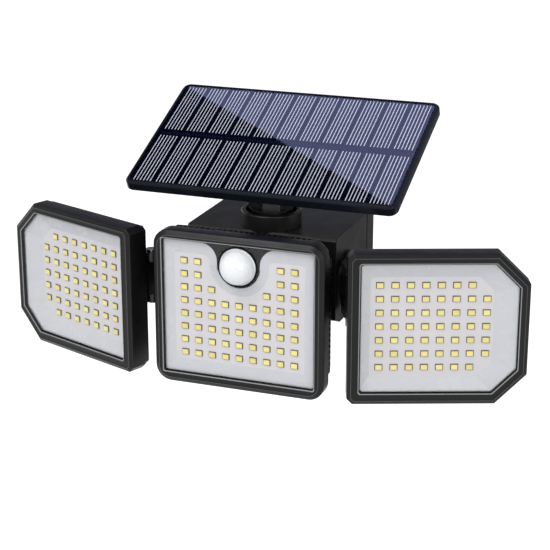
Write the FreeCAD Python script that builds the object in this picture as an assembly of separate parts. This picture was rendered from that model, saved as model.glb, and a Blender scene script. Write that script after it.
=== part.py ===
import FreeCAD, Part
import math
import os
from FreeCAD import Vector

# Motion sensor security light for a wall: a box housing on a wall bracket, a solar panel on a
# post above it, a centre lamp head with a sensor dome, and two side lamp heads on arms.
# Millimetres. The origin is the middle of the wall face, +Y points into the wall, +Z is up,
# and the lamp heads look along -Y. The right-hand arm and head are made once and mirrored.

# --- general fits ---
PIN_GAP = 0.05           # radial clearance of a pin or screw in its hole
FACE_GAP = 0.1           # between two faces that turn past each other
FIT_GAP = 0.1            # between an inserted piece and its pocket
OVERSHOOT = 1.0          # how far a cut or a joined root reaches past a face

# --- wall bracket and housing ---
BRACKET_WIDTH = 62.0
BRACKET_HEIGHT = 36.0
BRACKET_DEPTH = 24.0         # lets the panel lie level without touching the wall
BRACKET_WALL = 2.5
BRACKET_BASE = 3.0
WALL_HOLE_SPACING = 40.0
WALL_SLOT_LENGTH = 8.0
WALL_SLOT_RADIUS = 2.2
PLINTH_DEPTH = 6.0
LOCK_SCREW_RADIUS = 1.5
LOCK_SCREW_LENGTH = 10.0
LOCK_SCREW_HEAD = 2.8
LOCK_SCREW_HEAD_HEIGHT = 2.0
HOUSING_WIDTH = 88.4
HOUSING_HEIGHT = 50.4
HOUSING_DEPTH = 70.5
HOUSING_WALL = 2.5
GASKET_THICKNESS = 1.2
GASKET_INSET = 0.7
TOP_CUT = 1.5            # cut along the housing's top front edge
BOTTOM_CUT_UP = 3.5      # cut along the bottom front edge: height
BOTTOM_CUT_BACK = 8.0    # and depth
POST_RADIUS = 3.6        # corner posts of the housing
POST_INSET = 5.6
POST_LENGTH = 10.0
COVER_SCREW_RADIUS = 1.5
COVER_SCREW_TIP_GAP = 0.4    # the screws stop short of the post's end
COVER_HEAD_RADIUS = 2.8
COVER_HEAD_HEIGHT = 2.2

# --- inside the housing ---
CELL_RADIUS = 9.15
CELL_LENGTH = 65.0
CELL_PITCH = 18.8
HOLDER_FLOOR = 2.5
HOLDER_END = 2.5
HOLDER_SIDE = 1.6
HOLDER_FRONT_GAP = 2.55  # behind the housing's front wall
HOLDER_NUT_GAP = 0.5     # its walls end below the arm axle nuts by this much
BOARD_THICKNESS = 1.6
BOARD_DROP = 17.0        # the board's underside below the housing's top
BOARD_DEPTH = 44.0
LEDGE_WIDTH = 3.0
LEDGE_HEIGHT = 2.0
BUTTON_X = 20.0
BUTTON_HOLDER_GAP = 0.95 # between the battery holder and the button's flange
BUTTON_RADIUS = 4.0
BUTTON_STANDS_OUT = 1.6
BUTTON_FLANGE_RADIUS = 5.0
BUTTON_FLANGE_HEIGHT = 1.2
BUTTON_EDGE_CUT = 0.6
CAPACITOR_RADIUS = 4.0
CAPACITOR_HEIGHT = 9.0
CAPACITOR_X = -26.0
CHIP_SIZE = 8.0
CHIP_HEIGHT = 1.6
CHIP_X = -8.0
COIL_SIZE = 10.0
COIL_HEIGHT = 5.0
COIL_X = 23.0
BOARD_PART_INSET = 10.0      # from the board's front and back edges to its parts
BOARD_FRONT_CUT = 5.0        # the board stops short of the cells' front by this much

# --- panel post ---
COLLAR_SET_BACK = 0.1    # of the collar's front from the housing's front
COLLAR_RADIUS = 17.0
COLLAR_WALL = 2.4
COLLAR_HEIGHT = 8.8
COLLAR_EDGE_CUT = 0.5
STEM_RADIUS = 12.3
STEM_HEIGHT = 10.0
NECK_RADIUS = 6.0
STEM_RING_WALL = 3.0
STEM_RING_HEIGHT = 1.4
STEM_GROOVE_DEPTH = 1.0
STEM_GROOVE_FOOT = 2.0      # neck left below the groove
PANEL_AXIS_HEIGHT = 18.3     # above the housing's top
PANEL_EAR_RADIUS = 5.0
PANEL_EAR_WIDTH = 4.8
PANEL_PIN_RADIUS = 2.0
PIN_HEAD_RADIUS = 3.2
PIN_HEAD_HEIGHT = 1.2

# --- solar panel, in its own frame: x right, y up the slope, z off its face ---
PANEL_TILT = 23.5
PANEL_WIDTH = 159.0
PANEL_LENGTH = 97.5
PANEL_THICKNESS = 7.6
PANEL_SHIFT = 27.4           # from the hinge axis to the panel's middle, up the slope
PANEL_LIFT = 7.3             # from the hinge axis to the panel's underside
PANEL_CORNER = 5.0
FRAME_RIM = 2.6
FRAME_EDGE_CUT = 1.2
FRAME_LIP = 0.3
SHEET_THICKNESS = 0.4
CELL_THICKNESS = 0.2
CELL_BOARD_THICKNESS = 1.2
BACK_INSET = 1.6
BACK_EDGE_CUT = 1.2
BACK_STANDS_OUT = 0.8        # how far the back plate shows below the rim
CELL_COLUMNS = 11
CELL_ROWS = 2
CELL_COLUMN_GAP = 0.4
CELL_ROW_GAP = 2.8
CELL_MARGIN = 0.6
LUG_WIDTH = 14.0
LUG_PLATE_WIDTH = 30.0
LUG_PLATE_START = 6.5
LUG_PLATE_END = 32.0
LUG_PLATE_THICKNESS = 2.5
LUG_SCREW_RADIUS = 1.25
LUG_SCREW_HEAD = 2.4
LUG_SCREW_LENGTH = 6.0

# --- lamp heads: y is the depth behind the faces of the LEDs ---
LED_WIDTH = 3.5
LED_HEIGHT = 2.8
LED_THICKNESS = 0.7
LENS_THICKNESS = 1.0
LIP_RUN = 0.9                # width of the lip between the bezel's face and the window
HEAD_BOARD_THICKNESS = 1.6
POCKET_INSET = 2.6
SEAL_THICKNESS = 1.0
HEAD_WALL = 2.2
HEAD_SCREW_RADIUS = 1.25
HEAD_SCREW_HEAD = 2.3
HEAD_SCREW_HEAD_HEIGHT = 1.6
HEAD_SCREW_INSET = 6.6
HEAD_SCREW_TIP_GAP = 0.3     # the tip stops short of the seal
HEAD_RECESS_GAP = 0.4        # round the screw heads
HEAD_POST_RADIUS = 4.2
CUT_SHRINK = 2 - math.sqrt(2)  # what a 45 degree corner cut loses per unit of inset

# --- centre head ---
CENTRE_HALF_WIDTH = 49.4
CENTRE_HALF_HEIGHT = 44.0
CENTRE_CORNER = 9.0
CENTRE_FRONT = -2.8          # the bezel's face
CENTRE_BEZEL_BACK = 7.0
CENTRE_STEP = 10.0           # where the rear housing starts to close in
CENTRE_BACK = 20.0
CENTRE_PAN_INSET = 1.6
CENTRE_PAN_CLOSING = 3.4     # how much further in the rear housing's back lies
CENTRE_EDGE = ((5.2, -0.3), (2.8, 0.0), (0.3, 1.5), (0.0, 1.9))  # inset, depth from the face
CENTRE_WINDOW_Y = -1.2       # front of the clear cover
CENTRE_WINDOW_INSET = 6.1
CENTRE_WINDOW_RISE = 0.8     # the window sits above the head's middle
CENTRE_WINDOW_CORNER = 1.0
CENTRE_REACH = 26.35         # from the hinge axis to the LED faces
CENTRE_Z = -12.0
CENTRE_LED_Z = 0.5           # middle of the LED grid above the head's middle
CENTRE_PITCH_X = 8.0
CENTRE_PITCH_Z = 7.6
CENTRE_ROWS = (4, 4, 6, 9, 9, 9, 9, 9)  # LEDs in each row, from the top, half at each side
CENTRE_COLUMNS = 9
FLOOR_HALF_WIDTH = 37.7
FLOOR_HALF_HEIGHT = 30.8
REFLECTOR_SHOWS = -0.2       # how far the reflector's mouth shows inside the window
RIB_THICKNESS = 1.5
RIB_PITCH_X = 3.25
RIB_PITCH_Z = 3.35
RIB_HEIGHT = 1.0             # behind the pan's back
RIB_SIDE_EXTRA = 0.4         # and this much more at its sides
RIB_START = 0.4              # gap between the bezel and the ribs
RIB_REACH_X = 39.5
RIB_REACH_Z = 32.0
CENTRE_AXIS_OUT = 7.15       # in front of the housing
CENTRE_AXIS_Z = 0.0
CLEVIS_EAR_RADIUS = 5.1
CLEVIS_EAR_WIDTH = 4.0
CLEVIS_BASE = 1.8
CLEVIS_BASE_HEIGHT = 30.0
CLEVIS_BASE_MARGIN = 3.0
CENTRE_LUG_WIDTH = 18.0
HINGE_PIN_RADIUS = 2.0

# --- sensor in the centre head ---
SENSOR_Z = 27.2
DOME_RADIUS = 9.6
DOME_WALL = 0.9
DOME_CENTRE_Y = -1.6
DOME_FLANGE_RADIUS = 10.4
DOME_FLANGE_HEIGHT = 0.7
DOME_GROOVE_WIDTH = 0.25
DOME_GROOVE_DEPTH = 0.3
NECK_HOLE_RADIUS = 11.4
NECK_TUBE_WALL = 0.9
NECK_RISE = 1.0              # how far the neck plate runs up behind the bezel
NECK_RIM_HEIGHT = 0.4        # how far the tube stands out of the clear cover
FUNNEL_RADIUS = 12.3
FLARE_RADIUS = 10.2
NOTCH_WALK = 5.0             # how far the reflector's slope runs round the sensor
NOTCH_LEAST_SIDE = 0.5       # upright side left between the neck's arc and its flares
NECK_LEDGE = 0.5             # flat of the reflector round the neck
SENSOR_CAN_RADIUS = 4.6
SENSOR_CAN_HEIGHT = 4.0
SENSOR_CAN_BRIM = 0.5
SENSOR_CAN_BRIM_HEIGHT = 0.8

# --- side heads ---
SIDE_HALF_WIDTH = 48.1
SIDE_HALF_HEIGHT = 42.2
SIDE_OUTER_CUT = 16.7        # 45 degree cuts of the outer corners
SIDE_INNER_CUT = 3.0         # and of the corners beside the centre head
SIDE_CORNER = 1.2
SIDE_FRONT = -4.4
SIDE_BEZEL_BACK = 6.8
SIDE_STEP = 10.6
SIDE_BACK = 13.0
SIDE_PAN_INSET = 1.4
SIDE_PAN_CLOSING = 2.4
SIDE_EDGE = ((5.4, -0.3), (2.2, 0.0), (0.2, 1.2), (0.0, 1.5))
SIDE_WINDOW_Y = -3.0
SIDE_WINDOW_INSET = 6.6
SIDE_WINDOW_SHIFT = 0.5      # the window sits outward from the head's middle
SIDE_WINDOW_RISE = 0.6       # and above it
SIDE_TURN = 21.1             # how far each side head faces outward, at rest
SIDE_Z = -12.3
SIDE_PITCH_X = 8.11
SIDE_PITCH_Z = 7.71
SIDE_COLUMNS = 8
SIDE_ROWS = 7
SIDE_LED_X = -2.6            # middle of the LED grid from the head's middle
SIDE_LED_Z = 0.8
SIDE_FLOOR_LEFT = -36.1
SIDE_FLOOR_RIGHT = 29.4
SIDE_FLOOR_HALF_HEIGHT = 28.2
SIDE_FLOOR_CUT = 8.0
SIDE_FLOOR_INNER_CUT = 1.0
SIDE_FLOOR_CORNER = 0.3
SIDE_FLOOR_Z = 0.3           # middle of the floor above the head's middle
SIDE_PIN_X = 60.4
SIDE_PIN_REACH = 31.7        # from the arm's axle forward to the swivel pin
PIN_IN_HEAD_X = -42.0
PIN_IN_HEAD_Y = 19.5
ARM_AXIS_BACK = 18.5         # behind the housing's front
ARM_AXIS_Z = -3.0
ARM_DISC_RADIUS = 14.5
ARM_DISC_THICKNESS = 6.0
ARM_THICKNESS = 6.0
ARM_BEND_REACH = 13.0        # from the axle forward to the arm's bend
ARM_EAR_HEIGHT = 5.0
ARM_EAR_RADIUS = 6.0
SIDE_LUG_RADIUS = 5.6
LUG_ROOM = 0.6               # round the head's lug between the arm's ears
BOSS_RADIUS = 16.5
BOSS_HEIGHT = 1.6
AXLE_RADIUS = 4.0
AXLE_NUT_RADIUS = 6.5
AXLE_NUT_HEIGHT = 4.0
AXLE_HEAD_RADIUS = 6.0
AXLE_HEAD_HEIGHT = 1.6

# --- derived places ---
COVER_BACK_Y = -BRACKET_DEPTH
HOUSING_FRONT_Y = COVER_BACK_Y - HOUSING_DEPTH
HOUSING_TOP_Z = HOUSING_HEIGHT / 2
INNER_FLOOR_Z = -HOUSING_HEIGHT / 2 + HOUSING_WALL
HOLDER_HALF_LENGTH = CELL_LENGTH / 2 + HOLDER_END + FIT_GAP
HOLDER_HALF_DEPTH = CELL_PITCH / 2 + CELL_RADIUS + HOLDER_SIDE + FIT_GAP
HOLDER_TOP_Z = ARM_AXIS_Z - AXLE_NUT_RADIUS - HOLDER_NUT_GAP
CELL_PAIR_Y = HOUSING_FRONT_Y + HOUSING_WALL + HOLDER_FRONT_GAP + HOLDER_HALF_DEPTH
BUTTON_Y = CELL_PAIR_Y + HOLDER_HALF_DEPTH + BUTTON_HOLDER_GAP + BUTTON_FLANGE_RADIUS
SPLIT_Y = BUTTON_Y + BUTTON_FLANGE_RADIUS     # the rear cover starts behind the button
REAR_COVER_DEPTH = COVER_BACK_Y - SPLIT_Y
BOARD_Z = HOUSING_TOP_Z - BOARD_DROP
COLLAR_Y = HOUSING_FRONT_Y + COLLAR_RADIUS + COLLAR_SET_BACK
PANEL_AXIS_Z = HOUSING_TOP_Z + PANEL_AXIS_HEIGHT
CENTRE_AXIS_Y = HOUSING_FRONT_Y - CENTRE_AXIS_OUT
CENTRE_Y = CENTRE_AXIS_Y - CENTRE_REACH
ARM_AXIS_Y = HOUSING_FRONT_Y + ARM_AXIS_BACK
ARM_BEND_Y = ARM_AXIS_Y - ARM_BEND_REACH
SIDE_PIN_Y = ARM_AXIS_Y - SIDE_PIN_REACH
LONG = PANEL_WIDTH + HOUSING_WIDTH            # for holes and cuts that go right through
COLUMN_WIDTH = (PANEL_WIDTH - 2 * FRAME_RIM - 2 * CELL_MARGIN) / CELL_COLUMNS


class Head:
    """Sizes of one lamp head: its outline, its window and the depths of its parts."""

    def __init__(self, outline, window, depths, pan, edge):
        self.half_width, self.half_height, self.outer_cut, self.inner_cut, self.corner = outline
        self.window_inset, self.window_shift, self.window_rise, self.window_corner = window
        self.front, self.window_y, self.bezel_back, self.step, self.back = depths
        self.pan_inset, self.pan_closing = pan
        self.edge = edge
        self.lens_back = self.window_y + LENS_THICKNESS
        self.board_front = LED_THICKNESS
        self.board_back = LED_THICKNESS + HEAD_BOARD_THICKNESS
        self.seat = self.board_back + SEAL_THICKNESS


CENTRE = Head((CENTRE_HALF_WIDTH, CENTRE_HALF_HEIGHT, 0.0, 0.0, CENTRE_CORNER),
              (CENTRE_WINDOW_INSET, 0.0, CENTRE_WINDOW_RISE, CENTRE_WINDOW_CORNER),
              (CENTRE_FRONT, CENTRE_WINDOW_Y, CENTRE_BEZEL_BACK, CENTRE_STEP, CENTRE_BACK),
              (CENTRE_PAN_INSET, CENTRE_PAN_CLOSING), CENTRE_EDGE)
SIDE = Head((SIDE_HALF_WIDTH, SIDE_HALF_HEIGHT, SIDE_OUTER_CUT, SIDE_INNER_CUT, SIDE_CORNER),
            (SIDE_WINDOW_INSET, SIDE_WINDOW_SHIFT, SIDE_WINDOW_RISE, SIDE_CORNER),
            (SIDE_FRONT, SIDE_WINDOW_Y, SIDE_BEZEL_BACK, SIDE_STEP, SIDE_BACK),
            (SIDE_PAN_INSET, SIDE_PAN_CLOSING), SIDE_EDGE)


# ------------------------------------------------------------------ drawing helpers
def rounded_wire(corners, y):
    """Closed wire at depth y through (x, z, radius) corners, each rounded by its radius."""
    count = len(corners)
    ends = []
    for i in range(count):
        x, z, radius = corners[i]
        here = Vector(x, y, z)
        before = Vector(corners[i - 1][0], y, corners[i - 1][1])
        after = Vector(corners[(i + 1) % count][0], y, corners[(i + 1) % count][1])
        to_before = (before - here).normalize()
        to_after = (after - here).normalize()
        half_angle = to_before.getAngle(to_after) / 2
        reach = radius / math.tan(half_angle)
        toward_middle = (to_before + to_after).normalize()
        middle = here + toward_middle * (radius / math.sin(half_angle) - radius)
        ends.append((here + to_before * reach, middle, here + to_after * reach))
    edges = []
    for i in range(count):
        start, middle, end = ends[i]
        edges.append(Part.Arc(start, middle, end).toShape())
        edges.append(Part.LineSegment(end, ends[(i + 1) % count][0]).toShape())
    return Part.Wire(edges)


def plate(wire, depth):
    """Solid plate: the area in a closed wire, pushed back along Y."""
    return Part.Face(wire).extrude(Vector(0, depth, 0))


def block(x0, x1, y0, y1, z0, z1):
    """Box between two corners."""
    return Part.makeBox(x1 - x0, y1 - y0, z1 - z0, Vector(x0, y0, z0))


def rod(radius, start, direction, length):
    """Round bar from a start point."""
    return Part.makeCylinder(radius, length, Vector(*start), Vector(*direction))


def screw(radius, length, head_radius, head_height, seat, direction):
    """Screw whose head sits on the seat point; direction points from the head to the tip."""
    along = Vector(*direction)
    head = Part.makeCylinder(head_radius, head_height, Vector(*seat), along * -1)
    shank = Part.makeCylinder(radius, length, Vector(*seat), along)
    return head.fuse(shank).removeSplitter()


def joined(shapes):
    """All the shapes fused into one solid."""
    whole = shapes[0].multiFuse(shapes[1:])
    return whole.removeSplitter()


def mirrored(shape):
    """The left-hand twin of a right-hand shape."""
    return shape.mirror(Vector(0, 0, 0), Vector(1, 0, 0))


def save(name, shape):
    """Writes one piece."""
    shape.exportStep("parts/" + name + ".step")


# ------------------------------------------------------------------ housing and bracket
def housing_block(inset, front, back):
    """The housing's outer form, shrunk by inset, between two depths, with its cut front edges."""
    top = HOUSING_HEIGHT / 2 - inset
    half = HOUSING_WIDTH / 2 - inset
    cut = max(TOP_CUT - inset * CUT_SHRINK, 0.5)
    slope = BOTTOM_CUT_UP / BOTTOM_CUT_BACK
    up = max(BOTTOM_CUT_UP - inset * slope, 0.5)
    back_cut = up / slope
    profile = [(front + cut, top), (back, top), (back, -top), (front + back_cut, -top),
               (front, -top + up), (front, top - cut)]
    points = [Vector(-half, y, z) for y, z in profile]
    face = Part.Face(Part.makePolygon(points + [points[0]]))
    return face.extrude(Vector(2 * half, 0, 0))


def corner_places():
    """The four corner post centres of the housing, as (x, z)."""
    x = HOUSING_WIDTH / 2 - POST_INSET
    z = HOUSING_HEIGHT / 2 - POST_INSET
    return [(x, z), (-x, z), (-x, -z), (x, -z)]


def make_main_housing():
    """Open-backed box shell with side bosses, corner posts, ledges and its holes."""
    back = SPLIT_Y - GASKET_THICKNESS / 2
    shell = housing_block(0, HOUSING_FRONT_Y, back)
    room = housing_block(HOUSING_WALL, HOUSING_FRONT_Y + HOUSING_WALL, back + 1)
    inner_half = HOUSING_WIDTH / 2 - HOUSING_WALL
    shell = shell.cut(room)
    added = []
    for x, z in corner_places():
        added.append(rod(POST_RADIUS, (x, back - POST_LENGTH, z), (0, 1, 0), POST_LENGTH))
    board_half = BOARD_DEPTH / 2
    for side in (-1, 1):
        outer = side * (inner_half + 0.5)
        inner = side * (inner_half - LEDGE_WIDTH)
        added.append(block(min(outer, inner), max(outer, inner), CELL_PAIR_Y - board_half + 4,
                           CELL_PAIR_Y + board_half, BOARD_Z - LEDGE_HEIGHT, BOARD_Z))
        added.append(rod(BOSS_RADIUS, (side * (HOUSING_WIDTH / 2 - 0.5), ARM_AXIS_Y, ARM_AXIS_Z),
                         (side, 0, 0), BOSS_HEIGHT + 0.5))
    shell = joined([shell] + added)
    holes = [rod(COVER_SCREW_RADIUS + PIN_GAP, (x, back - POST_LENGTH - 1, z), (0, 1, 0),
                 POST_LENGTH + 2) for x, z in corner_places()]
    holes.append(rod(AXLE_RADIUS + PIN_GAP, (-HOUSING_WIDTH, ARM_AXIS_Y, ARM_AXIS_Z),
                     (1, 0, 0), 2 * HOUSING_WIDTH))
    holes.append(rod(NECK_RADIUS + PIN_GAP, (0, COLLAR_Y, 0), (0, 0, 1), HOUSING_HEIGHT))
    holes.append(rod(BUTTON_RADIUS + PIN_GAP, (BUTTON_X, BUTTON_Y, 0), (0, 0, -1),
                     HOUSING_HEIGHT))
    return shell.cut(Part.makeCompound(holes))


def make_housing_gasket():
    """Flat rubber ring between housing and rear cover."""
    half_w = HOUSING_WIDTH / 2 - GASKET_INSET
    half_h = HOUSING_HEIGHT / 2 - GASKET_INSET
    width = HOUSING_WALL - GASKET_INSET
    y0 = SPLIT_Y - GASKET_THICKNESS / 2
    y1 = SPLIT_Y + GASKET_THICKNESS / 2
    outer = block(-half_w, half_w, y0, y1, -half_h, half_h)
    inner = block(-half_w + width, half_w - width, y0 - 1, y1 + 1, -half_h + width,
                  half_h - width)
    return outer.cut(inner)


def make_rear_cover():
    """Tray that closes the housing, with corner posts and the plinth for the bracket."""
    half_w = HOUSING_WIDTH / 2
    half_h = HOUSING_HEIGHT / 2
    front = SPLIT_Y + GASKET_THICKNESS / 2
    tray = block(-half_w, half_w, front, COVER_BACK_Y, -half_h, half_h)
    tray = tray.makeChamfer(1.2, [e for e in tray.Edges if e.CenterOfMass.y > COVER_BACK_Y - 0.01])
    room = block(-half_w + HOUSING_WALL, half_w - HOUSING_WALL, front - 1,
                 COVER_BACK_Y - HOUSING_WALL, -half_h + HOUSING_WALL, half_h - HOUSING_WALL)
    tray = tray.cut(room)
    plinth_w = BRACKET_WIDTH / 2 - BRACKET_WALL - FIT_GAP
    plinth_h = BRACKET_HEIGHT / 2 - BRACKET_WALL - FIT_GAP
    added = [block(-plinth_w, plinth_w, COVER_BACK_Y - 1, COVER_BACK_Y + PLINTH_DEPTH,
                   -plinth_h, plinth_h)]
    for x, z in corner_places():
        added.append(rod(POST_RADIUS, (x, front, z), (0, 1, 0), REAR_COVER_DEPTH - 2))
    tray = joined([tray] + added)
    holes = []
    for x, z in corner_places():
        holes.append(rod(COVER_SCREW_RADIUS + PIN_GAP, (x, front - 1, z), (0, 1, 0),
                         REAR_COVER_DEPTH + 2))
        holes.append(rod(COVER_HEAD_RADIUS + FIT_GAP, (x, COVER_BACK_Y - COVER_HEAD_HEIGHT, z),
                         (0, 1, 0), COVER_HEAD_HEIGHT + 1))
    for side in (-1, 1):
        holes.append(rod(LOCK_SCREW_RADIUS + PIN_GAP, (side * (BRACKET_WIDTH / 2 + 1),
                                                       COVER_BACK_Y + PLINTH_DEPTH / 2, 0),
                         (-side, 0, 0), LOCK_SCREW_LENGTH + 1.5))
    return tray.cut(Part.makeCompound(holes))


def make_rear_cover_screws():
    """Four screws with their heads sunk in the rear cover."""
    seat_y = COVER_BACK_Y - COVER_HEAD_HEIGHT
    post_end_y = SPLIT_Y - GASKET_THICKNESS / 2 - POST_LENGTH
    length = seat_y - post_end_y - COVER_SCREW_TIP_GAP
    return Part.makeCompound([screw(COVER_SCREW_RADIUS, length, COVER_HEAD_RADIUS,
                                    COVER_HEAD_HEIGHT - 0.2, (x, seat_y, z), (0, -1, 0))
                              for x, z in corner_places()])


def make_wall_bracket():
    """Shallow tray against the wall: slotted holes in its base, lock screw holes in its sides."""
    w = BRACKET_WIDTH / 2
    h = BRACKET_HEIGHT / 2
    corners = [(-w, -h, 3), (w, -h, 3), (w, h, 3), (-w, h, 3)]
    tray = plate(rounded_wire(corners, -BRACKET_DEPTH), BRACKET_DEPTH)
    room = block(-w + BRACKET_WALL, w - BRACKET_WALL, -BRACKET_DEPTH - 1, -BRACKET_BASE,
                 -h + BRACKET_WALL, h - BRACKET_WALL)
    tray = tray.cut(room)
    holes = []
    for side in (-1, 1):
        x = side * WALL_HOLE_SPACING / 2
        reach = WALL_SLOT_LENGTH / 2 - WALL_SLOT_RADIUS
        for end in (-1, 1):
            holes.append(rod(WALL_SLOT_RADIUS, (x + end * reach, -BRACKET_BASE - 1, 0),
                             (0, 1, 0), BRACKET_BASE + 2))
        holes.append(block(x - reach, x + reach, -BRACKET_BASE - 1, 1, -WALL_SLOT_RADIUS,
                           WALL_SLOT_RADIUS))
        holes.append(rod(LOCK_SCREW_RADIUS + PIN_GAP, (side * (w + 1),
                                                       COVER_BACK_Y + PLINTH_DEPTH / 2, 0),
                         (-side, 0, 0), BRACKET_WALL + 2))
    return tray.cut(joined(holes))


def make_bracket_screws():
    """Two lock screws through the bracket's sides into the plinth."""
    y = COVER_BACK_Y + PLINTH_DEPTH / 2
    return Part.makeCompound([screw(LOCK_SCREW_RADIUS, LOCK_SCREW_LENGTH, LOCK_SCREW_HEAD,
                                    LOCK_SCREW_HEAD_HEIGHT, (side * BRACKET_WIDTH / 2, y, 0),
                                    (-side, 0, 0)) for side in (-1, 1)])


# ------------------------------------------------------------------ inside the housing
def make_battery_holder():
    """Open tray on the housing's floor that carries two cells side by side."""
    half_x = HOLDER_HALF_LENGTH
    half_y = HOLDER_HALF_DEPTH
    tray = block(-half_x, half_x, CELL_PAIR_Y - half_y, CELL_PAIR_Y + half_y, INNER_FLOOR_Z,
                 HOLDER_TOP_Z)
    room = block(-half_x + HOLDER_END, half_x - HOLDER_END, CELL_PAIR_Y - half_y + HOLDER_SIDE,
                 CELL_PAIR_Y + half_y - HOLDER_SIDE, INNER_FLOOR_Z + HOLDER_FLOOR,
                 HOLDER_TOP_Z + OVERSHOOT)
    housing_room = housing_block(HOUSING_WALL, HOUSING_FRONT_Y + HOUSING_WALL, SPLIT_Y)
    return tray.cut(room).common(housing_room)


def make_battery_cells():
    """Two cylindrical cells, each with its raised pole."""
    z = INNER_FLOOR_Z + HOLDER_FLOOR + CELL_RADIUS
    cells = []
    for side in (-1, 1):
        y = CELL_PAIR_Y + side * CELL_PITCH / 2
        body = rod(CELL_RADIUS, (-side * CELL_LENGTH / 2, y, z), (side, 0, 0), CELL_LENGTH - 1.2)
        pole = rod(3.0, (side * (CELL_LENGTH / 2 - 1.2), y, z), (side, 0, 0), 1.2)
        cells.append(body.fuse(pole).removeSplitter())
    return Part.makeCompound(cells)


def make_control_board():
    """Circuit board on the two ledges, with its larger parts."""
    half_x = HOUSING_WIDTH / 2 - HOUSING_WALL - FIT_GAP
    y0 = CELL_PAIR_Y - BOARD_DEPTH / 2 + BOARD_FRONT_CUT
    y1 = CELL_PAIR_Y + BOARD_DEPTH / 2
    top = BOARD_Z + BOARD_THICKNESS
    front_row = y0 + BOARD_PART_INSET
    back_row = y1 - BOARD_PART_INSET
    parts = [block(-half_x, half_x, y0, y1, BOARD_Z, top),
             rod(CAPACITOR_RADIUS, (CAPACITOR_X, front_row, BOARD_Z), (0, 0, 1),
                 BOARD_THICKNESS + CAPACITOR_HEIGHT),
             block(CHIP_X - CHIP_SIZE / 2, CHIP_X + CHIP_SIZE / 2, back_row - CHIP_SIZE / 2,
                   back_row + CHIP_SIZE / 2, BOARD_Z, top + CHIP_HEIGHT),
             block(COIL_X - COIL_SIZE / 2, COIL_X + COIL_SIZE / 2, front_row - COIL_SIZE / 2,
                   front_row + COIL_SIZE / 2, BOARD_Z, top + COIL_HEIGHT)]
    return joined(parts)


def make_mode_button():
    """Round push button in the housing's underside, with its flange inside."""
    low = -HOUSING_HEIGHT / 2 - BUTTON_STANDS_OUT
    cap = rod(BUTTON_RADIUS, (BUTTON_X, BUTTON_Y, low), (0, 0, 1),
              BUTTON_STANDS_OUT + HOUSING_WALL + 0.5)
    cap = cap.makeChamfer(BUTTON_EDGE_CUT, [e for e in cap.Edges if abs(e.CenterOfMass.z - low) < 0.01])
    flange = rod(BUTTON_FLANGE_RADIUS, (BUTTON_X, BUTTON_Y, INNER_FLOOR_Z + 0.02), (0, 0, 1),
                 BUTTON_FLANGE_HEIGHT)
    return joined([cap, flange])


# ------------------------------------------------------------------ post and solar panel
def make_panel_collar():
    """Upright ring on the housing's top; its foot follows the cut front edge."""
    height = COLLAR_HEIGHT + HOUSING_WALL
    base = (0, COLLAR_Y, HOUSING_TOP_Z - HOUSING_WALL)
    ring = rod(COLLAR_RADIUS, base, (0, 0, 1), height)
    top = HOUSING_TOP_Z + COLLAR_HEIGHT
    ring = ring.makeChamfer(COLLAR_EDGE_CUT, [e for e in ring.Edges if e.BoundBox.ZMin > top - 0.01])
    ring = ring.cut(rod(COLLAR_RADIUS - COLLAR_WALL, (0, COLLAR_Y, 0), (0, 0, 1), LONG))
    return ring.cut(housing_block(0, HOUSING_FRONT_Y, SPLIT_Y))


def make_panel_stem():
    """Post in the collar, with a neck through the housing's top and two ears for the pin."""
    foot = HOUSING_TOP_Z + FACE_GAP
    ring_foot = HOUSING_TOP_Z - HOUSING_WALL - FACE_GAP - STEM_RING_HEIGHT
    neck_foot = ring_foot - STEM_GROOVE_FOOT
    post = joined([rod(STEM_RADIUS, (0, COLLAR_Y, foot), (0, 0, 1), STEM_HEIGHT),
                   rod(NECK_RADIUS, (0, COLLAR_Y, neck_foot), (0, 0, 1), foot - neck_foot + OVERSHOOT)])
    ears = []
    for side in (-1, 1):
        inner = side * (LUG_WIDTH / 2 + FACE_GAP)
        outer = inner + side * PANEL_EAR_WIDTH
        x0 = min(inner, outer)
        ears.append(rod(PANEL_EAR_RADIUS, (x0, COLLAR_Y, PANEL_AXIS_Z), (1, 0, 0),
                        PANEL_EAR_WIDTH))
        ears.append(block(x0, x0 + PANEL_EAR_WIDTH, COLLAR_Y - PANEL_EAR_RADIUS,
                          COLLAR_Y + PANEL_EAR_RADIUS, foot + STEM_HEIGHT - OVERSHOOT,
                          PANEL_AXIS_Z))
    stem = joined([post] + ears)
    groove = rod(NECK_RADIUS + OVERSHOOT, (0, COLLAR_Y, ring_foot - PIN_GAP), (0, 0, 1),
                 STEM_RING_HEIGHT + 2 * PIN_GAP)
    groove = groove.cut(rod(NECK_RADIUS - STEM_GROOVE_DEPTH, (0, COLLAR_Y, 0), (0, 0, 1), LONG))
    pin_hole = rod(PANEL_PIN_RADIUS + PIN_GAP, (-LONG / 2, COLLAR_Y, PANEL_AXIS_Z), (1, 0, 0),
                   LONG)
    return stem.cut(groove).cut(pin_hole)


def make_stem_ring():
    """Snap ring in the neck's groove, under the housing's top wall."""
    top = HOUSING_TOP_Z - HOUSING_WALL - FACE_GAP
    foot = top - STEM_RING_HEIGHT
    bore = NECK_RADIUS - STEM_GROOVE_DEPTH
    ring = rod(bore + STEM_RING_WALL, (0, COLLAR_Y, foot), (0, 0, 1), STEM_RING_HEIGHT)
    return ring.cut(rod(bore, (0, COLLAR_Y, 0), (0, 0, 1), LONG))


def make_panel_tilt_pin():
    """Pin through the post's ears, with a head at each end."""
    half = LUG_WIDTH / 2 + FACE_GAP + PANEL_EAR_WIDTH
    return headed_pin(PANEL_PIN_RADIUS, half, (0, COLLAR_Y, PANEL_AXIS_Z), (1, 0, 0))


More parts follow.
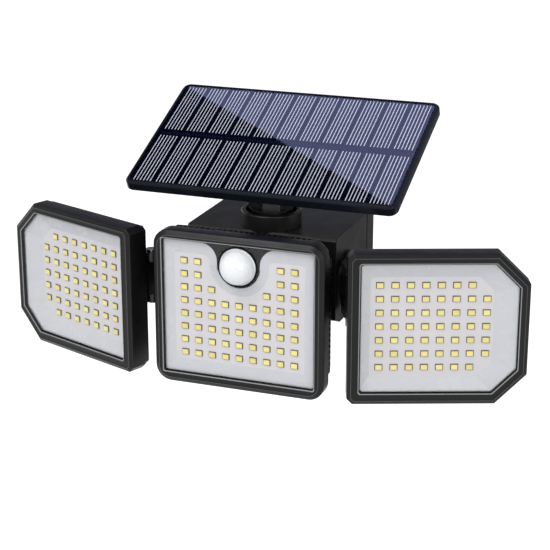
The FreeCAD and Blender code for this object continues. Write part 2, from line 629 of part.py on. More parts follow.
def headed_pin(radius, half_length, middle, direction):
    """Pin with a flat head at each end."""
    along = Vector(*direction)
    centre = Vector(*middle)
    shaft = Part.makeCylinder(radius, 2 * half_length, centre - along * half_length, along)
    heads = [Part.makeCylinder(PIN_HEAD_RADIUS, PIN_HEAD_HEIGHT,
                               centre + along * side * half_length, along * side)
             for side in (-1, 1)]
    return joined([shaft] + heads)


def panel_outline(inset, z):
    """Rounded rectangle of the panel at height z over the hinge axis, in the panel's frame."""
    w = PANEL_WIDTH / 2 - inset
    h = PANEL_LENGTH / 2 - inset
    r = max(PANEL_CORNER - inset, 0.8)
    wire = rounded_wire([(-w, -h, r), (w, -h, r), (w, h, r), (-w, h, r)], 0)
    wire.rotate(Vector(0, 0, 0), Vector(1, 0, 0), -90)
    wire.translate(Vector(0, PANEL_SHIFT, z))
    return wire


def panel_slab(inset, z0, z1):
    """Rounded slab of the panel between two heights."""
    return Part.Face(panel_outline(inset, z0)).extrude(Vector(0, 0, z1 - z0))


def panel_heights():
    """Heights over the hinge axis: underside, cell board, cells, sheet and rim."""
    rim = PANEL_LIFT + PANEL_THICKNESS
    sheet_top = rim - FRAME_LIP
    cells_top = sheet_top - SHEET_THICKNESS
    board_top = cells_top - CELL_THICKNESS
    board_foot = board_top - CELL_BOARD_THICKNESS
    return board_foot, board_top, cells_top, sheet_top, rim


def make_panel_frame():
    """Rim of the panel, with cut outer edges and a seat for back and board."""
    board_foot, rim = panel_heights()[0], panel_heights()[-1]
    foot = PANEL_LIFT + BACK_STANDS_OUT
    body = Part.makeLoft([panel_outline(FRAME_EDGE_CUT, foot),
                          panel_outline(0, foot + FRAME_EDGE_CUT),
                          panel_outline(0, rim - FRAME_EDGE_CUT),
                          panel_outline(FRAME_EDGE_CUT, rim)], True, True)
    body = body.cut(panel_slab(FRAME_RIM, foot - OVERSHOOT, rim + OVERSHOOT))
    return body.cut(panel_slab(BACK_INSET, foot - OVERSHOOT, board_foot))


def make_panel_back():
    """Back plate of the panel, with a cut lower edge."""
    board_foot = panel_heights()[0]
    inset = BACK_INSET + FIT_GAP
    body = Part.makeLoft([panel_outline(inset + BACK_EDGE_CUT, PANEL_LIFT),
                          panel_outline(inset, PANEL_LIFT + BACK_EDGE_CUT),
                          panel_outline(inset, board_foot)], True, True)
    holes = [rod(LUG_SCREW_RADIUS + PIN_GAP, (x, y, PANEL_LIFT - 1), (0, 0, 1),
                 LUG_SCREW_LENGTH - LUG_PLATE_THICKNESS + 1.2) for x, y in lug_screw_places()]
    return body.cut(Part.makeCompound(holes))


def make_cell_board():
    """Black circuit board that carries the cells."""
    board_foot, board_top = panel_heights()[:2]
    return panel_slab(FRAME_RIM + FIT_GAP, board_foot, board_top)


def make_solar_cells():
    """Cells in columns and two rows, with gaps between them."""
    board_top, cells_top = panel_heights()[1:3]
    half_w = COLUMN_WIDTH * CELL_COLUMNS / 2
    half_l = PANEL_LENGTH / 2 - FRAME_RIM - CELL_MARGIN
    row_length = (2 * half_l - CELL_ROW_GAP) / CELL_ROWS
    cells = []
    for row in range(CELL_ROWS):
        y0 = PANEL_SHIFT - half_l + row * (row_length + CELL_ROW_GAP)
        for column in range(CELL_COLUMNS):
            x0 = -half_w + column * COLUMN_WIDTH + CELL_COLUMN_GAP / 2
            cells.append(block(x0, x0 + COLUMN_WIDTH - CELL_COLUMN_GAP, y0, y0 + row_length,
                               board_top, cells_top))
    return Part.makeCompound(cells)


def make_panel_sheet():
    """Clear sheet over the cells, inside the rim."""
    cells_top, sheet_top = panel_heights()[2:4]
    return panel_slab(FRAME_RIM + FIT_GAP, cells_top, sheet_top)


def lug_screw_places():
    """Places of the four screws of the hinge lug, in the panel's frame."""
    x = LUG_PLATE_WIDTH / 2 - 4.5
    return [(side * x, y) for side in (-1, 1) for y in (LUG_PLATE_START + 5, LUG_PLATE_END - 5)]


def make_panel_lug():
    """Hinge lug: barrel between the post's ears, neck and screw plate."""
    foot = PANEL_LIFT - LUG_PLATE_THICKNESS
    half = LUG_WIDTH / 2
    wide = LUG_PLATE_WIDTH / 2
    lug = joined([rod(PANEL_EAR_RADIUS, (-half, 0, 0), (1, 0, 0), LUG_WIDTH),
                  block(-half, half, -PANEL_EAR_RADIUS, PANEL_EAR_RADIUS, 0, PANEL_LIFT),
                  block(-half, half, 0, LUG_PLATE_START + 1, foot - 1.5, PANEL_LIFT),
                  block(-wide, wide, LUG_PLATE_START, LUG_PLATE_END, foot, PANEL_LIFT)])
    holes = [rod(LUG_SCREW_RADIUS + PIN_GAP, (x, y, foot - 1), (0, 0, 1), 10)
             for x, y in lug_screw_places()]
    holes.append(rod(PANEL_PIN_RADIUS + PIN_GAP, (-LONG / 2, 0, 0), (1, 0, 0), LONG))
    return lug.cut(Part.makeCompound(holes))


def make_panel_lug_screws():
    """Four screws from below through the lug's plate into the panel's back."""
    foot = PANEL_LIFT - LUG_PLATE_THICKNESS
    return Part.makeCompound([screw(LUG_SCREW_RADIUS, LUG_SCREW_LENGTH, LUG_SCREW_HEAD, 1.4,
                                    (x, y, foot), (0, 0, 1)) for x, y in lug_screw_places()])


def place_panel(shape):
    """Tilts a panel piece about the hinge axis and moves it onto the post."""
    placed = shape.copy()
    placed.rotate(Vector(0, 0, 0), Vector(1, 0, 0), PANEL_TILT)
    placed.translate(Vector(0, COLLAR_Y, PANEL_AXIS_Z))
    return placed


# ------------------------------------------------------------------ lamp heads
def head_outline(head, inset, y):
    """Outline of a lamp head at a depth, shrunk by inset."""
    w = head.half_width - inset
    h = head.half_height - inset
    if head.outer_cut == 0:
        r = max(head.corner - inset, head.window_corner)
        return rounded_wire([(-w, -h, r), (w, -h, r), (w, h, r), (-w, h, r)], y)
    cut = head.outer_cut - inset * CUT_SHRINK
    small = max(head.inner_cut - inset * CUT_SHRINK, 1.0)
    r = head.corner
    s = 0.3 * small
    return rounded_wire([(-w + small, -h, s), (w - cut, -h, r), (w, -h + cut, r), (w, h - cut, r),
                         (w - cut, h, r), (-w + small, h, s), (-w, h - small, s),
                         (-w, -h + small, s)], y)


def head_loft(head, steps):
    """Solid through outlines given as (inset, y), front to back."""
    return Part.makeLoft([head_outline(head, inset, y) for inset, y in steps], True, True)


def head_slab(head, inset, y0, y1):
    """Flat solid with the head's outline between two depths."""
    return plate(head_outline(head, inset, y0), y1 - y0)


def head_screw_places(head):
    """The four screws of a head, as (x, z); beside the cut corners they stand further in."""
    x = head.half_width - HEAD_SCREW_INSET
    z = head.half_height - HEAD_SCREW_INSET
    outer_x = x - max(head.outer_cut - HEAD_SCREW_INSET * CUT_SHRINK, 0)
    return [(-x, -z), (outer_x, -z), (outer_x, z), (-x, z)]


def window_loft(head, steps):
    """Solid through outlines given as (inset, y), set round the middle of the window."""
    shape = head_loft(head, steps)
    shape.translate(Vector(head.window_shift, 0, head.window_rise))
    return shape


def make_bezel(head):
    """Front frame of a head: stepped front edge, steep lip, pocket and screw posts."""
    body = head_loft(head, [(inset, head.front + down) for inset, down in head.edge]
                     + [(0, head.bezel_back)])
    lip = head.window_inset
    body = body.cut(window_loft(head, [(lip - LIP_RUN, head.front - OVERSHOOT / 2),
                                       (lip, head.window_y - FIT_GAP),
                                       (lip, head.window_y + OVERSHOOT)]))
    body = body.cut(head_slab(head, POCKET_INSET, head.window_y, head.bezel_back + 1))
    posts = [rod(HEAD_POST_RADIUS, (x, head.seat, z), (0, 1, 0), head.bezel_back - head.seat)
             for x, z in head_screw_places(head)]
    keep = head_slab(head, POCKET_INSET / 2, head.seat, head.bezel_back)
    body = joined([body] + [post.common(keep) for post in posts])
    holes = [rod(HEAD_SCREW_RADIUS + PIN_GAP, (x, head.seat - OVERSHOOT, z), (0, 1, 0), LONG)
             for x, z in head_screw_places(head)]
    return body.cut(Part.makeCompound(holes))


def make_lens(head):
    """Clear cover in the bezel's pocket."""
    return head_slab(head, POCKET_INSET + FIT_GAP, head.window_y, head.lens_back)


def make_board(head):
    """White circuit board behind the reflector."""
    return head_slab(head, POCKET_INSET + FIT_GAP, head.board_front, head.board_back)


def make_seal(head):
    """Rubber ring between the board and the rear housing."""
    seal = head_slab(head, POCKET_INSET + FIT_GAP, head.board_back, head.seat)
    return seal.cut(head_slab(head, POCKET_INSET + HEAD_WALL, head.board_back - 1,
                              head.seat + 1))


def make_rear_pan(head, outside):
    """Rear housing: the outside form, a spigot into the bezel, a hollow and screw recesses."""
    spigot = head_slab(head, POCKET_INSET + FIT_GAP, head.seat, head.bezel_back + OVERSHOOT)
    pan = joined([outside, spigot])
    rim = POCKET_INSET + FIT_GAP + HEAD_WALL
    pan = pan.cut(head_loft(head, [(rim, head.seat - OVERSHOOT), (rim, head.step - OVERSHOOT),
                                   (rim + head.pan_closing, head.back - HEAD_WALL)]))
    pads = [rod(HEAD_POST_RADIUS, (x, head.bezel_back, z), (0, 1, 0),
                head.step - head.bezel_back) for x, z in head_screw_places(head)]
    keep = head_slab(head, POCKET_INSET, head.bezel_back, head.back)
    pan = joined([pan] + [pad.common(keep) for pad in pads])
    holes = []
    for x, z in head_screw_places(head):
        holes.append(rod(HEAD_POST_RADIUS + FIT_GAP, (x, head.seat - OVERSHOOT, z), (0, 1, 0),
                         head.bezel_back - head.seat + OVERSHOOT))
        holes.append(rod(HEAD_SCREW_RADIUS + PIN_GAP, (x, 0, z), (0, 1, 0), LONG))
        holes.append(rod(HEAD_SCREW_HEAD + HEAD_RECESS_GAP, (x, head.step, z), (0, 1, 0), LONG))
    return pan.cut(Part.makeCompound(holes))


def make_head_screws(head):
    """Four screws from behind, through the rear housing into the bezel's posts."""
    length = head.step - head.seat - HEAD_SCREW_TIP_GAP
    return Part.makeCompound([screw(HEAD_SCREW_RADIUS, length, HEAD_SCREW_HEAD,
                                    HEAD_SCREW_HEAD_HEIGHT, (x, head.step, z), (0, -1, 0))
                              for x, z in head_screw_places(head)])


def led_package(x, z):
    """One LED package with its front face at depth 0."""
    return block(x - LED_WIDTH / 2, x + LED_WIDTH / 2, 0, LED_THICKNESS, z - LED_HEIGHT / 2,
                 z + LED_HEIGHT / 2)


# ------------------------------------------------------------------ centre head
def at_depth(y):
    """Function that gives the point (x, z) at this depth."""
    return lambda x, z: Vector(x, y, z)


def polyline(points):
    """Straight edges through the points; two equal points in a row count as one."""
    return [Part.LineSegment(a, b).toShape() for a, b in zip(points, points[1:]) if a != b]


def flare_arc(at, side, neck, level, flare):
    """Hollow quarter arc from the window's top edge in to the neck's side."""
    middle_x = side * (neck + flare)
    root = math.sqrt(0.5)
    return [at(middle_x, level + flare), at(middle_x - side * flare * root, level + flare * root),
            at(side * neck, level)]


def neck_edges(at, neck, level, flare):
    """Edges of the neck from the right flare, round below the dome, to the left flare."""
    right = flare_arc(at, 1, neck, level, flare)
    left = flare_arc(at, -1, neck, level, flare)
    return ([Part.Arc(*right).toShape()] + polyline([right[2], at(neck, SENSOR_Z)])
            + [Part.Arc(at(neck, SENSOR_Z), at(0, SENSOR_Z - neck), at(-neck, SENSOR_Z)).toShape()]
            + polyline([at(-neck, SENSOR_Z), left[2]])
            + [Part.Arc(left[2], left[1], left[0]).toShape()])


def sensor_notch(half_width, top, foot, grow, y):
    """Window outline with the sensor's neck hanging into it; grow widens the neck.

    The neck is an arc round the dome with a hollow flare at each side. The flare arcs and the
    neck arc meet level with the dome's middle, where both run upright.
    """
    at = at_depth(y)
    neck = FUNNEL_RADIUS + grow
    flare = min(FLARE_RADIUS, top - SENSOR_Z - NOTCH_LEAST_SIDE)
    w = half_width
    return Part.Wire(neck_edges(at, neck, top - flare, flare)
                     + polyline([at(-neck - flare, top), at(-w, top), at(-w, foot), at(w, foot),
                                 at(w, top), at(neck + flare, top)]))


def neck_plate(grow, y0, y1):
    """The neck's plate, grown by a gap all round, between two depths."""
    at = at_depth(y0)
    window_top = CENTRE.half_height - CENTRE.window_inset + CENTRE.window_rise
    neck = FUNNEL_RADIUS + grow
    flare = FLARE_RADIUS - grow
    level = window_top - FLARE_RADIUS
    wide = neck + flare
    top = window_top + NECK_RISE + grow
    wire = Part.Wire(neck_edges(at, neck, level, flare)
                     + polyline([at(-wide, level + flare), at(-wide - grow, level + flare),
                                 at(-wide - grow, top), at(wide + grow, top),
                                 at(wide + grow, level + flare), at(wide, level + flare)]))
    return plate(wire, y1 - y0)


def make_centre_reflector():
    """White frame whose inside slopes from the window to the board, round the sensor too."""
    frame = head_slab(CENTRE, POCKET_INSET + FIT_GAP, CENTRE.lens_back, CENTRE.board_front)
    inset = CENTRE.window_inset - REFLECTOR_SHOWS
    rise = CENTRE.window_rise
    mouth = sensor_notch(CENTRE.half_width - inset, CENTRE.half_height - inset + rise,
                         inset - CENTRE.half_height + rise, NECK_LEDGE, CENTRE.lens_back)
    floor = sensor_notch(FLOOR_HALF_WIDTH, CENTRE_LED_Z + FLOOR_HALF_HEIGHT,
                         CENTRE_LED_Z - FLOOR_HALF_HEIGHT, NOTCH_WALK, CENTRE.board_front)
    frame = frame.cut(Part.makeLoft([mouth, floor], True, True))
    return frame.cut(neck_plate(FIT_GAP, CENTRE.lens_back - OVERSHOOT,
                                CENTRE.board_front + OVERSHOOT))


def make_sensor_surround():
    """Black neck plate behind the clear cover, and a tube out through it round the dome."""
    plate_front = CENTRE.lens_back + FIT_GAP
    tube_front = CENTRE.window_y - NECK_RIM_HEIGHT
    body = joined([neck_plate(0, plate_front, CENTRE.board_front),
                   rod(NECK_HOLE_RADIUS, (0, tube_front, SENSOR_Z), (0, 1, 0),
                       CENTRE.board_front - tube_front)])
    bore = rod(NECK_HOLE_RADIUS - NECK_TUBE_WALL, (0, tube_front - OVERSHOOT, SENSOR_Z),
               (0, 1, 0), LONG)
    return body.cut(bore)


def make_sensor_dome():
    """White dome turned as one profile: shell, fine groove, flange and a skirt to the board."""
    back = CENTRE.board_front
    inner = DOME_RADIUS - DOME_WALL
    root = math.sqrt(0.5)
    flange_front = DOME_CENTRE_Y + DOME_GROOVE_DEPTH
    flange_back = flange_front + DOME_FLANGE_HEIGHT
    groove_out = DOME_RADIUS + DOME_GROOVE_WIDTH
    groove_floor = flange_front + DOME_GROOVE_DEPTH

    def at(r, y):
        return Vector(r, y, SENSOR_Z)

    edges = [Part.Arc(at(0, DOME_CENTRE_Y - DOME_RADIUS),
                      at(DOME_RADIUS * root, DOME_CENTRE_Y - DOME_RADIUS * root),
                      at(DOME_RADIUS, DOME_CENTRE_Y)).toShape()]
    edges += polyline([at(DOME_RADIUS, DOME_CENTRE_Y), at(DOME_RADIUS, groove_floor),
                       at(groove_out, groove_floor), at(groove_out, flange_front),
                       at(DOME_FLANGE_RADIUS, flange_front), at(DOME_FLANGE_RADIUS, flange_back),
                       at(DOME_RADIUS, flange_back), at(DOME_RADIUS, back), at(inner, back),
                       at(inner, DOME_CENTRE_Y)])
    edges.append(Part.Arc(at(inner, DOME_CENTRE_Y),
                          at(inner * root, DOME_CENTRE_Y - inner * root),
                          at(0, DOME_CENTRE_Y - inner)).toShape())
    edges += polyline([at(0, DOME_CENTRE_Y - inner), at(0, DOME_CENTRE_Y - DOME_RADIUS)])
    return Part.Face(Part.Wire(edges)).revolve(at(0, 0), Vector(0, 1, 0), 360)


def make_sensor_element():
    """Infrared detector can on the board inside the dome."""
    start = (0, CENTRE.board_front, SENSOR_Z)
    return joined([rod(SENSOR_CAN_RADIUS, start, (0, -1, 0), SENSOR_CAN_HEIGHT),
                   rod(SENSOR_CAN_RADIUS + SENSOR_CAN_BRIM, start, (0, -1, 0),
                       SENSOR_CAN_BRIM_HEIGHT)])


def make_centre_lens():
    """The centre head's cover has a round hole for the sensor's tube."""
    hole = rod(NECK_HOLE_RADIUS + FIT_GAP, (0, CENTRE.window_y - OVERSHOOT, SENSOR_Z), (0, 1, 0),
               LONG)
    return make_lens(CENTRE).cut(hole)


def make_centre_leds():
    """LED packages in rows; the upper rows leave the middle free for the sensor."""
    middle = (CENTRE_COLUMNS - 1) / 2
    row_middle = (len(CENTRE_ROWS) - 1) / 2
    leds = []
    for row, count in enumerate(CENTRE_ROWS):
        z = (row_middle - row) * CENTRE_PITCH_Z + CENTRE_LED_Z
        for column in range(CENTRE_COLUMNS):
            from_edge = min(column, CENTRE_COLUMNS - 1 - column)
            if count == CENTRE_COLUMNS or from_edge < count / 2:
                leds.append(led_package((column - middle) * CENTRE_PITCH_X, z))
    return Part.makeCompound(leds)


def rib_slabs():
    """Thin slabs that cut the grown rear form into cooling ribs."""
    slabs = []
    y0 = CENTRE.bezel_back
    y1 = CENTRE.back + RIB_HEIGHT + OVERSHOOT
    half = RIB_THICKNESS / 2
    count_x = int(RIB_REACH_X / RIB_PITCH_X)
    for i in range(-count_x, count_x + 1):
        x = i * RIB_PITCH_X
        slabs.append(block(x - half, x + half, y0, y1, -LONG / 2, LONG / 2))
    count_z = int(RIB_REACH_Z / RIB_PITCH_Z)
    inner = RIB_REACH_X + RIB_THICKNESS
    for i in range(-count_z, count_z + 1):
        z = i * RIB_PITCH_Z
        for side in (-1, 1):
            x0, x1 = sorted((side * inner, side * LONG / 2))
            slabs.append(block(x0, x1, y0, y1, z - half, z + half))
    return Part.makeCompound(slabs)


def pan_form(head, grow, start):
    """Outside of a rear housing from a depth back, grown outward and backward."""
    side = head.pan_inset - grow
    return head_loft(head, [(side, start), (side, head.step),
                            (side + head.pan_closing, head.back + max(grow - RIB_SIDE_EXTRA, 0))])


def make_centre_housing():
    """Rear pan with wrap-round cooling ribs and the hinge lug."""
    core = pan_form(CENTRE, 0, CENTRE.bezel_back)
    grown = pan_form(CENTRE, RIB_HEIGHT + RIB_SIDE_EXTRA, CENTRE.bezel_back + RIB_START)
    ribs = grown.common(rib_slabs())
    axis_y = CENTRE_AXIS_Y - CENTRE_Y
    axis_z = CENTRE_AXIS_Z - CENTRE_Z
    half = CENTRE_LUG_WIDTH / 2
    lug = joined([rod(CLEVIS_EAR_RADIUS, (-half, axis_y, axis_z), (1, 0, 0), CENTRE_LUG_WIDTH),
                  block(-half, half, CENTRE.back - OVERSHOOT, axis_y, axis_z - CLEVIS_EAR_RADIUS,
                        axis_z + CLEVIS_EAR_RADIUS)])
    outside = joined([core] + ribs.Solids)
    pan = joined([make_rear_pan(CENTRE, outside), lug])
    return pan.cut(rod(HINGE_PIN_RADIUS + PIN_GAP, (-LONG / 2, axis_y, axis_z), (1, 0, 0), LONG))


def make_front_clevis():
    """Hinge bracket on the housing's front, with two ears beside the head's lug."""
    half = CENTRE_LUG_WIDTH / 2 + FACE_GAP
    wide = half + CLEVIS_EAR_WIDTH
    front = HOUSING_FRONT_Y - CLEVIS_BASE
    foot = wide + CLEVIS_BASE_MARGIN
    parts = [block(-foot, foot, front, HOUSING_FRONT_Y, -CLEVIS_BASE_HEIGHT / 2,
                   CLEVIS_BASE_HEIGHT / 2)]
    for side in (-1, 1):
        x0 = min(side * half, side * wide)
        parts.append(rod(CLEVIS_EAR_RADIUS, (x0, CENTRE_AXIS_Y, CENTRE_AXIS_Z), (1, 0, 0),
                         CLEVIS_EAR_WIDTH))
        parts.append(block(x0, x0 + CLEVIS_EAR_WIDTH, CENTRE_AXIS_Y, HOUSING_FRONT_Y - OVERSHOOT,
                           CENTRE_AXIS_Z - CLEVIS_EAR_RADIUS, CENTRE_AXIS_Z + CLEVIS_EAR_RADIUS))
    clevis = joined(parts)
    return clevis.cut(rod(HINGE_PIN_RADIUS + PIN_GAP, (-LONG / 2, CENTRE_AXIS_Y, CENTRE_AXIS_Z),
                          (1, 0, 0), LONG))


def make_centre_tilt_pin():
    """Pin through the clevis's ears and the head's lug."""
    half = CENTRE_LUG_WIDTH / 2 + FACE_GAP + CLEVIS_EAR_WIDTH
    return headed_pin(HINGE_PIN_RADIUS, half, (0, CENTRE_AXIS_Y, CENTRE_AXIS_Z), (1, 0, 0))


def place_centre(shape):
    """Moves a piece of the centre head to its place."""
    placed = shape.copy()
    placed.translate(Vector(0, CENTRE_Y, CENTRE_Z))
    return placed


# ------------------------------------------------------------------ side heads and arms
def side_floor(y):
    """Outline of the side reflector's floor."""
    left, right = SIDE_FLOOR_LEFT, SIDE_FLOOR_RIGHT
    low = SIDE_FLOOR_Z - SIDE_FLOOR_HALF_HEIGHT
    high = SIDE_FLOOR_Z + SIDE_FLOOR_HALF_HEIGHT
    cut = SIDE_FLOOR_CUT
    small = SIDE_FLOOR_INNER_CUT
    r = SIDE_FLOOR_CORNER
    return rounded_wire([(left + small, low, r), (right - cut, low, r), (right, low + cut, r),
                         (right, high - cut, r), (right - cut, high, r), (left + small, high, r),
                         (left, high - small, r), (left, low + small, r)], y)


def make_side_reflector():
    """White frame whose inside slopes from the window to the board."""
    frame = head_slab(SIDE, POCKET_INSET + FIT_GAP, SIDE.lens_back, SIDE.board_front)
    mouth = head_outline(SIDE, SIDE.window_inset - REFLECTOR_SHOWS, SIDE.lens_back)
    mouth.translate(Vector(SIDE.window_shift, 0, SIDE.window_rise))
    return frame.cut(Part.makeLoft([mouth, side_floor(SIDE.board_front)], True, True))


def make_side_leds():
    """LED packages in a grid without the outer corners."""
    leds = []
    for row in range(SIDE_ROWS):
        z = ((SIDE_ROWS - 1) / 2 - row) * SIDE_PITCH_Z + SIDE_LED_Z
        for column in range(SIDE_COLUMNS):
            at_cut_corner = column == SIDE_COLUMNS - 1 and row in (0, SIDE_ROWS - 1)
            if not at_cut_corner:
                x = (column - (SIDE_COLUMNS - 1) / 2) * SIDE_PITCH_X + SIDE_LED_X
                leds.append(led_package(x, z))
    return Part.makeCompound(leds)


def lug_heights():
    """Foot and top of the side head's lug, between the arm's ears, in the row's frame."""
    foot = ARM_AXIS_Z - ARM_DISC_RADIUS + ARM_EAR_HEIGHT + FACE_GAP
    top = ARM_AXIS_Z + ARM_DISC_RADIUS - ARM_EAR_HEIGHT - FACE_GAP
    return foot, top


def make_side_housing():
    """Rear pan of a side head with the lug for its upright pin."""
    pan = make_rear_pan(SIDE, pan_form(SIDE, 0, SIDE.bezel_back))
    foot, top = lug_heights()
    low = foot - SIDE_Z
    height = top - foot
    x, y = PIN_IN_HEAD_X, PIN_IN_HEAD_Y
    lug = joined([rod(SIDE_LUG_RADIUS, (x, y, low), (0, 0, 1), height),
                  block(x - SIDE_LUG_RADIUS + OVERSHOOT, x + SIDE_LUG_RADIUS,
                        SIDE.back - OVERSHOOT, y, low, low + height)])
    pan = joined([pan, lug])
    return pan.cut(rod(HINGE_PIN_RADIUS + PIN_GAP, (x, y, -LONG / 2), (0, 0, 1), LONG))


def place_side(shape):
    """Turns a side head piece outward and moves it onto the arm's pin."""
    placed = shape.copy()
    placed.translate(Vector(-PIN_IN_HEAD_X, -PIN_IN_HEAD_Y, SIDE_Z))
    placed.rotate(Vector(0, 0, 0), Vector(0, 0, 1), SIDE_TURN)
    placed.translate(Vector(SIDE_PIN_X, SIDE_PIN_Y, 0))
    return placed


def make_arm():
    """Arm of the right side head: disc on the housing's boss, bent web and two ears."""
    inner = HOUSING_WIDTH / 2 + BOSS_HEIGHT + FACE_GAP
    outer = inner + ARM_DISC_THICKNESS
    low = ARM_AXIS_Z - ARM_DISC_RADIUS
    height = 2 * ARM_DISC_RADIUS
    disc = rod(ARM_DISC_RADIUS, (inner, ARM_AXIS_Y, ARM_AXIS_Z), (1, 0, 0), ARM_DISC_THICKNESS)
    bend = ARM_BEND_Y
    reach = ARM_EAR_RADIUS
    plan = [(inner, ARM_AXIS_Y), (outer, ARM_AXIS_Y), (outer, bend + 1.0),
            (SIDE_PIN_X + reach * 0.87, SIDE_PIN_Y + reach * 0.5), (SIDE_PIN_X, SIDE_PIN_Y),
            (SIDE_PIN_X - reach * 0.97, SIDE_PIN_Y + reach * 0.25), (inner, bend - 1.0)]
    points = [Vector(x, y, low) for x, y in plan]
    web = Part.Face(Part.makePolygon(points + [points[0]])).extrude(Vector(0, 0, height))
    ears = rod(ARM_EAR_RADIUS, (SIDE_PIN_X, SIDE_PIN_Y, low), (0, 0, 1), height)
    arm = joined([disc, web, ears])
    foot, top = lug_heights()
    gap = rod(ARM_EAR_RADIUS + LUG_ROOM, (SIDE_PIN_X, SIDE_PIN_Y, foot - FACE_GAP), (0, 0, 1),
              top - foot + 2 * FACE_GAP)
    pin_hole = rod(HINGE_PIN_RADIUS + PIN_GAP, (SIDE_PIN_X, SIDE_PIN_Y, -LONG / 2), (0, 0, 1),
                   LONG)
    axle_hole = rod(AXLE_RADIUS + PIN_GAP, (0, ARM_AXIS_Y, ARM_AXIS_Z), (1, 0, 0), LONG)
    return arm.cut(gap).cut(pin_hole).cut(axle_hole)


def make_axle():
    """Axle of the right arm: head on the disc, shaft through boss and wall."""
    start = HOUSING_WIDTH / 2 + BOSS_HEIGHT + FACE_GAP + ARM_DISC_THICKNESS
    length = start - (HOUSING_WIDTH / 2 - HOUSING_WALL - FACE_GAP - AXLE_NUT_HEIGHT)
    return screw(AXLE_RADIUS, length, AXLE_HEAD_RADIUS, AXLE_HEAD_HEIGHT,
                 (start, ARM_AXIS_Y, ARM_AXIS_Z), (-1, 0, 0))


def make_axle_nut():
    """Six-sided nut on the axle's inner end."""
    x1 = HOUSING_WIDTH / 2 - HOUSING_WALL - FACE_GAP
    points = []
    for i in range(6):
        angle = math.radians(60 * i)
        points.append(Vector(x1, ARM_AXIS_Y + AXLE_NUT_RADIUS * math.cos(angle),
                             ARM_AXIS_Z + AXLE_NUT_RADIUS * math.sin(angle)))
    nut = Part.Face(Part.makePolygon(points + [points[0]])).extrude(Vector(-AXLE_NUT_HEIGHT, 0, 0))
    return nut.cut(rod(AXLE_RADIUS + PIN_GAP, (0, ARM_AXIS_Y, ARM_AXIS_Z), (1, 0, 0), LONG))


def make_swivel_pin():
    """Upright pin through the arm's ears and the head's lug."""
    return headed_pin(HINGE_PIN_RADIUS, ARM_DISC_RADIUS, (SIDE_PIN_X, SIDE_PIN_Y, ARM_AXIS_Z),
                      (0, 0, 1))


# ------------------------------------------------------------------ the whole light
def housing_pieces():
    """Pieces fixed to the wall, the button included."""
    return {"wall_bracket": make_wall_bracket(), "bracket_screws": make_bracket_screws(),
            "rear_cover": make_rear_cover(), "rear_cover_screws": make_rear_cover_screws(),
            "housing_gasket": make_housing_gasket(), "main_housing": make_main_housing(),
            "battery_holder": make_battery_holder(), "battery_cells": make_battery_cells(),
            "control_board": make_control_board(), "panel_collar": make_panel_collar(),
            "front_clevis": make_front_clevis(), "centre_tilt_pin": make_centre_tilt_pin(),
            "mode_button": make_mode_button()}


def panel_pieces():
    """The post, then the panel's pieces tilted onto it."""
    pieces = {"panel_stem": make_panel_stem(), "stem_ring": make_stem_ring(),
              "panel_tilt_pin": make_panel_tilt_pin()}
    tilted = {"panel_lug": make_panel_lug(), "panel_lug_screws": make_panel_lug_screws(),
              "panel_back": make_panel_back(), "panel_frame": make_panel_frame(),
              "cell_board": make_cell_board(), "solar_cells": make_solar_cells(),
              "panel_sheet": make_panel_sheet()}
    pieces.update({name: place_panel(shape) for name, shape in tilted.items()})
    return pieces


def centre_pieces():
    """The centre head's pieces in place."""
    pieces = {"centre_bezel": make_bezel(CENTRE), "centre_lens": make_centre_lens(),
              "centre_reflector": make_centre_reflector(), "centre_board": make_board(CENTRE),
              "centre_leds": make_centre_leds(), "centre_seal": make_seal(CENTRE),
              "centre_housing": make_centre_housing(), "centre_screws": make_head_screws(CENTRE),
              "sensor_surround": make_sensor_surround(), "sensor_dome": make_sensor_dome(),
              "sensor_element": make_sensor_element()}
    return {name: place_centre(shape) for name, shape in pieces.items()}


def side_pieces():
    """Right and left arms and heads; the left ones are mirrored."""
    head = {"bezel": make_bezel(SIDE), "lens": make_lens(SIDE),
            "reflector": make_side_reflector(), "board": make_board(SIDE),
            "leds": make_side_leds(), "seal": make_seal(SIDE), "housing": make_side_housing(),
            "screws": make_head_screws(SIDE)}
    right = {name: place_side(shape) for name, shape in head.items()}
    right.update({"arm": make_arm(), "axle": make_axle(), "axle_nut": make_axle_nut(),
                  "swivel_pin": make_swivel_pin()})
    pieces = {"right_" + name: shape for name, shape in right.items()}
    pieces.update({"left_" + name: mirrored(shape) for name, shape in right.items()})
    return pieces


def main():
    """Makes and writes every piece."""
    os.makedirs("parts", exist_ok=True)
    pieces = {}
    for group in (housing_pieces, panel_pieces, centre_pieces, side_pieces):
        pieces.update(group())
    for name, shape in pieces.items():
        save(name, shape)
        print(name, "solids", len(shape.Solids), "valid", shape.isValid(), "volume",
              round(shape.Volume, 1))


main()
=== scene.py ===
# %% [markdown]
# # A solar security light, dressed from its CAD frame
#
# The light hangs on a wall: a box housing on a bracket, a solar panel on a swivel post, a
# centre lamp head with a sensor dome, and two side heads on arms. The solids come from the
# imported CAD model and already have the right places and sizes. This lesson gives every
# visible surface its real finish. Where the real object has forms finer than the solids,
# such as rounded edges, LED packages or printed silver lines, it works them out with numpy,
# or rounds a copy of the solid with a modifier.

# %% Load the frame
import math

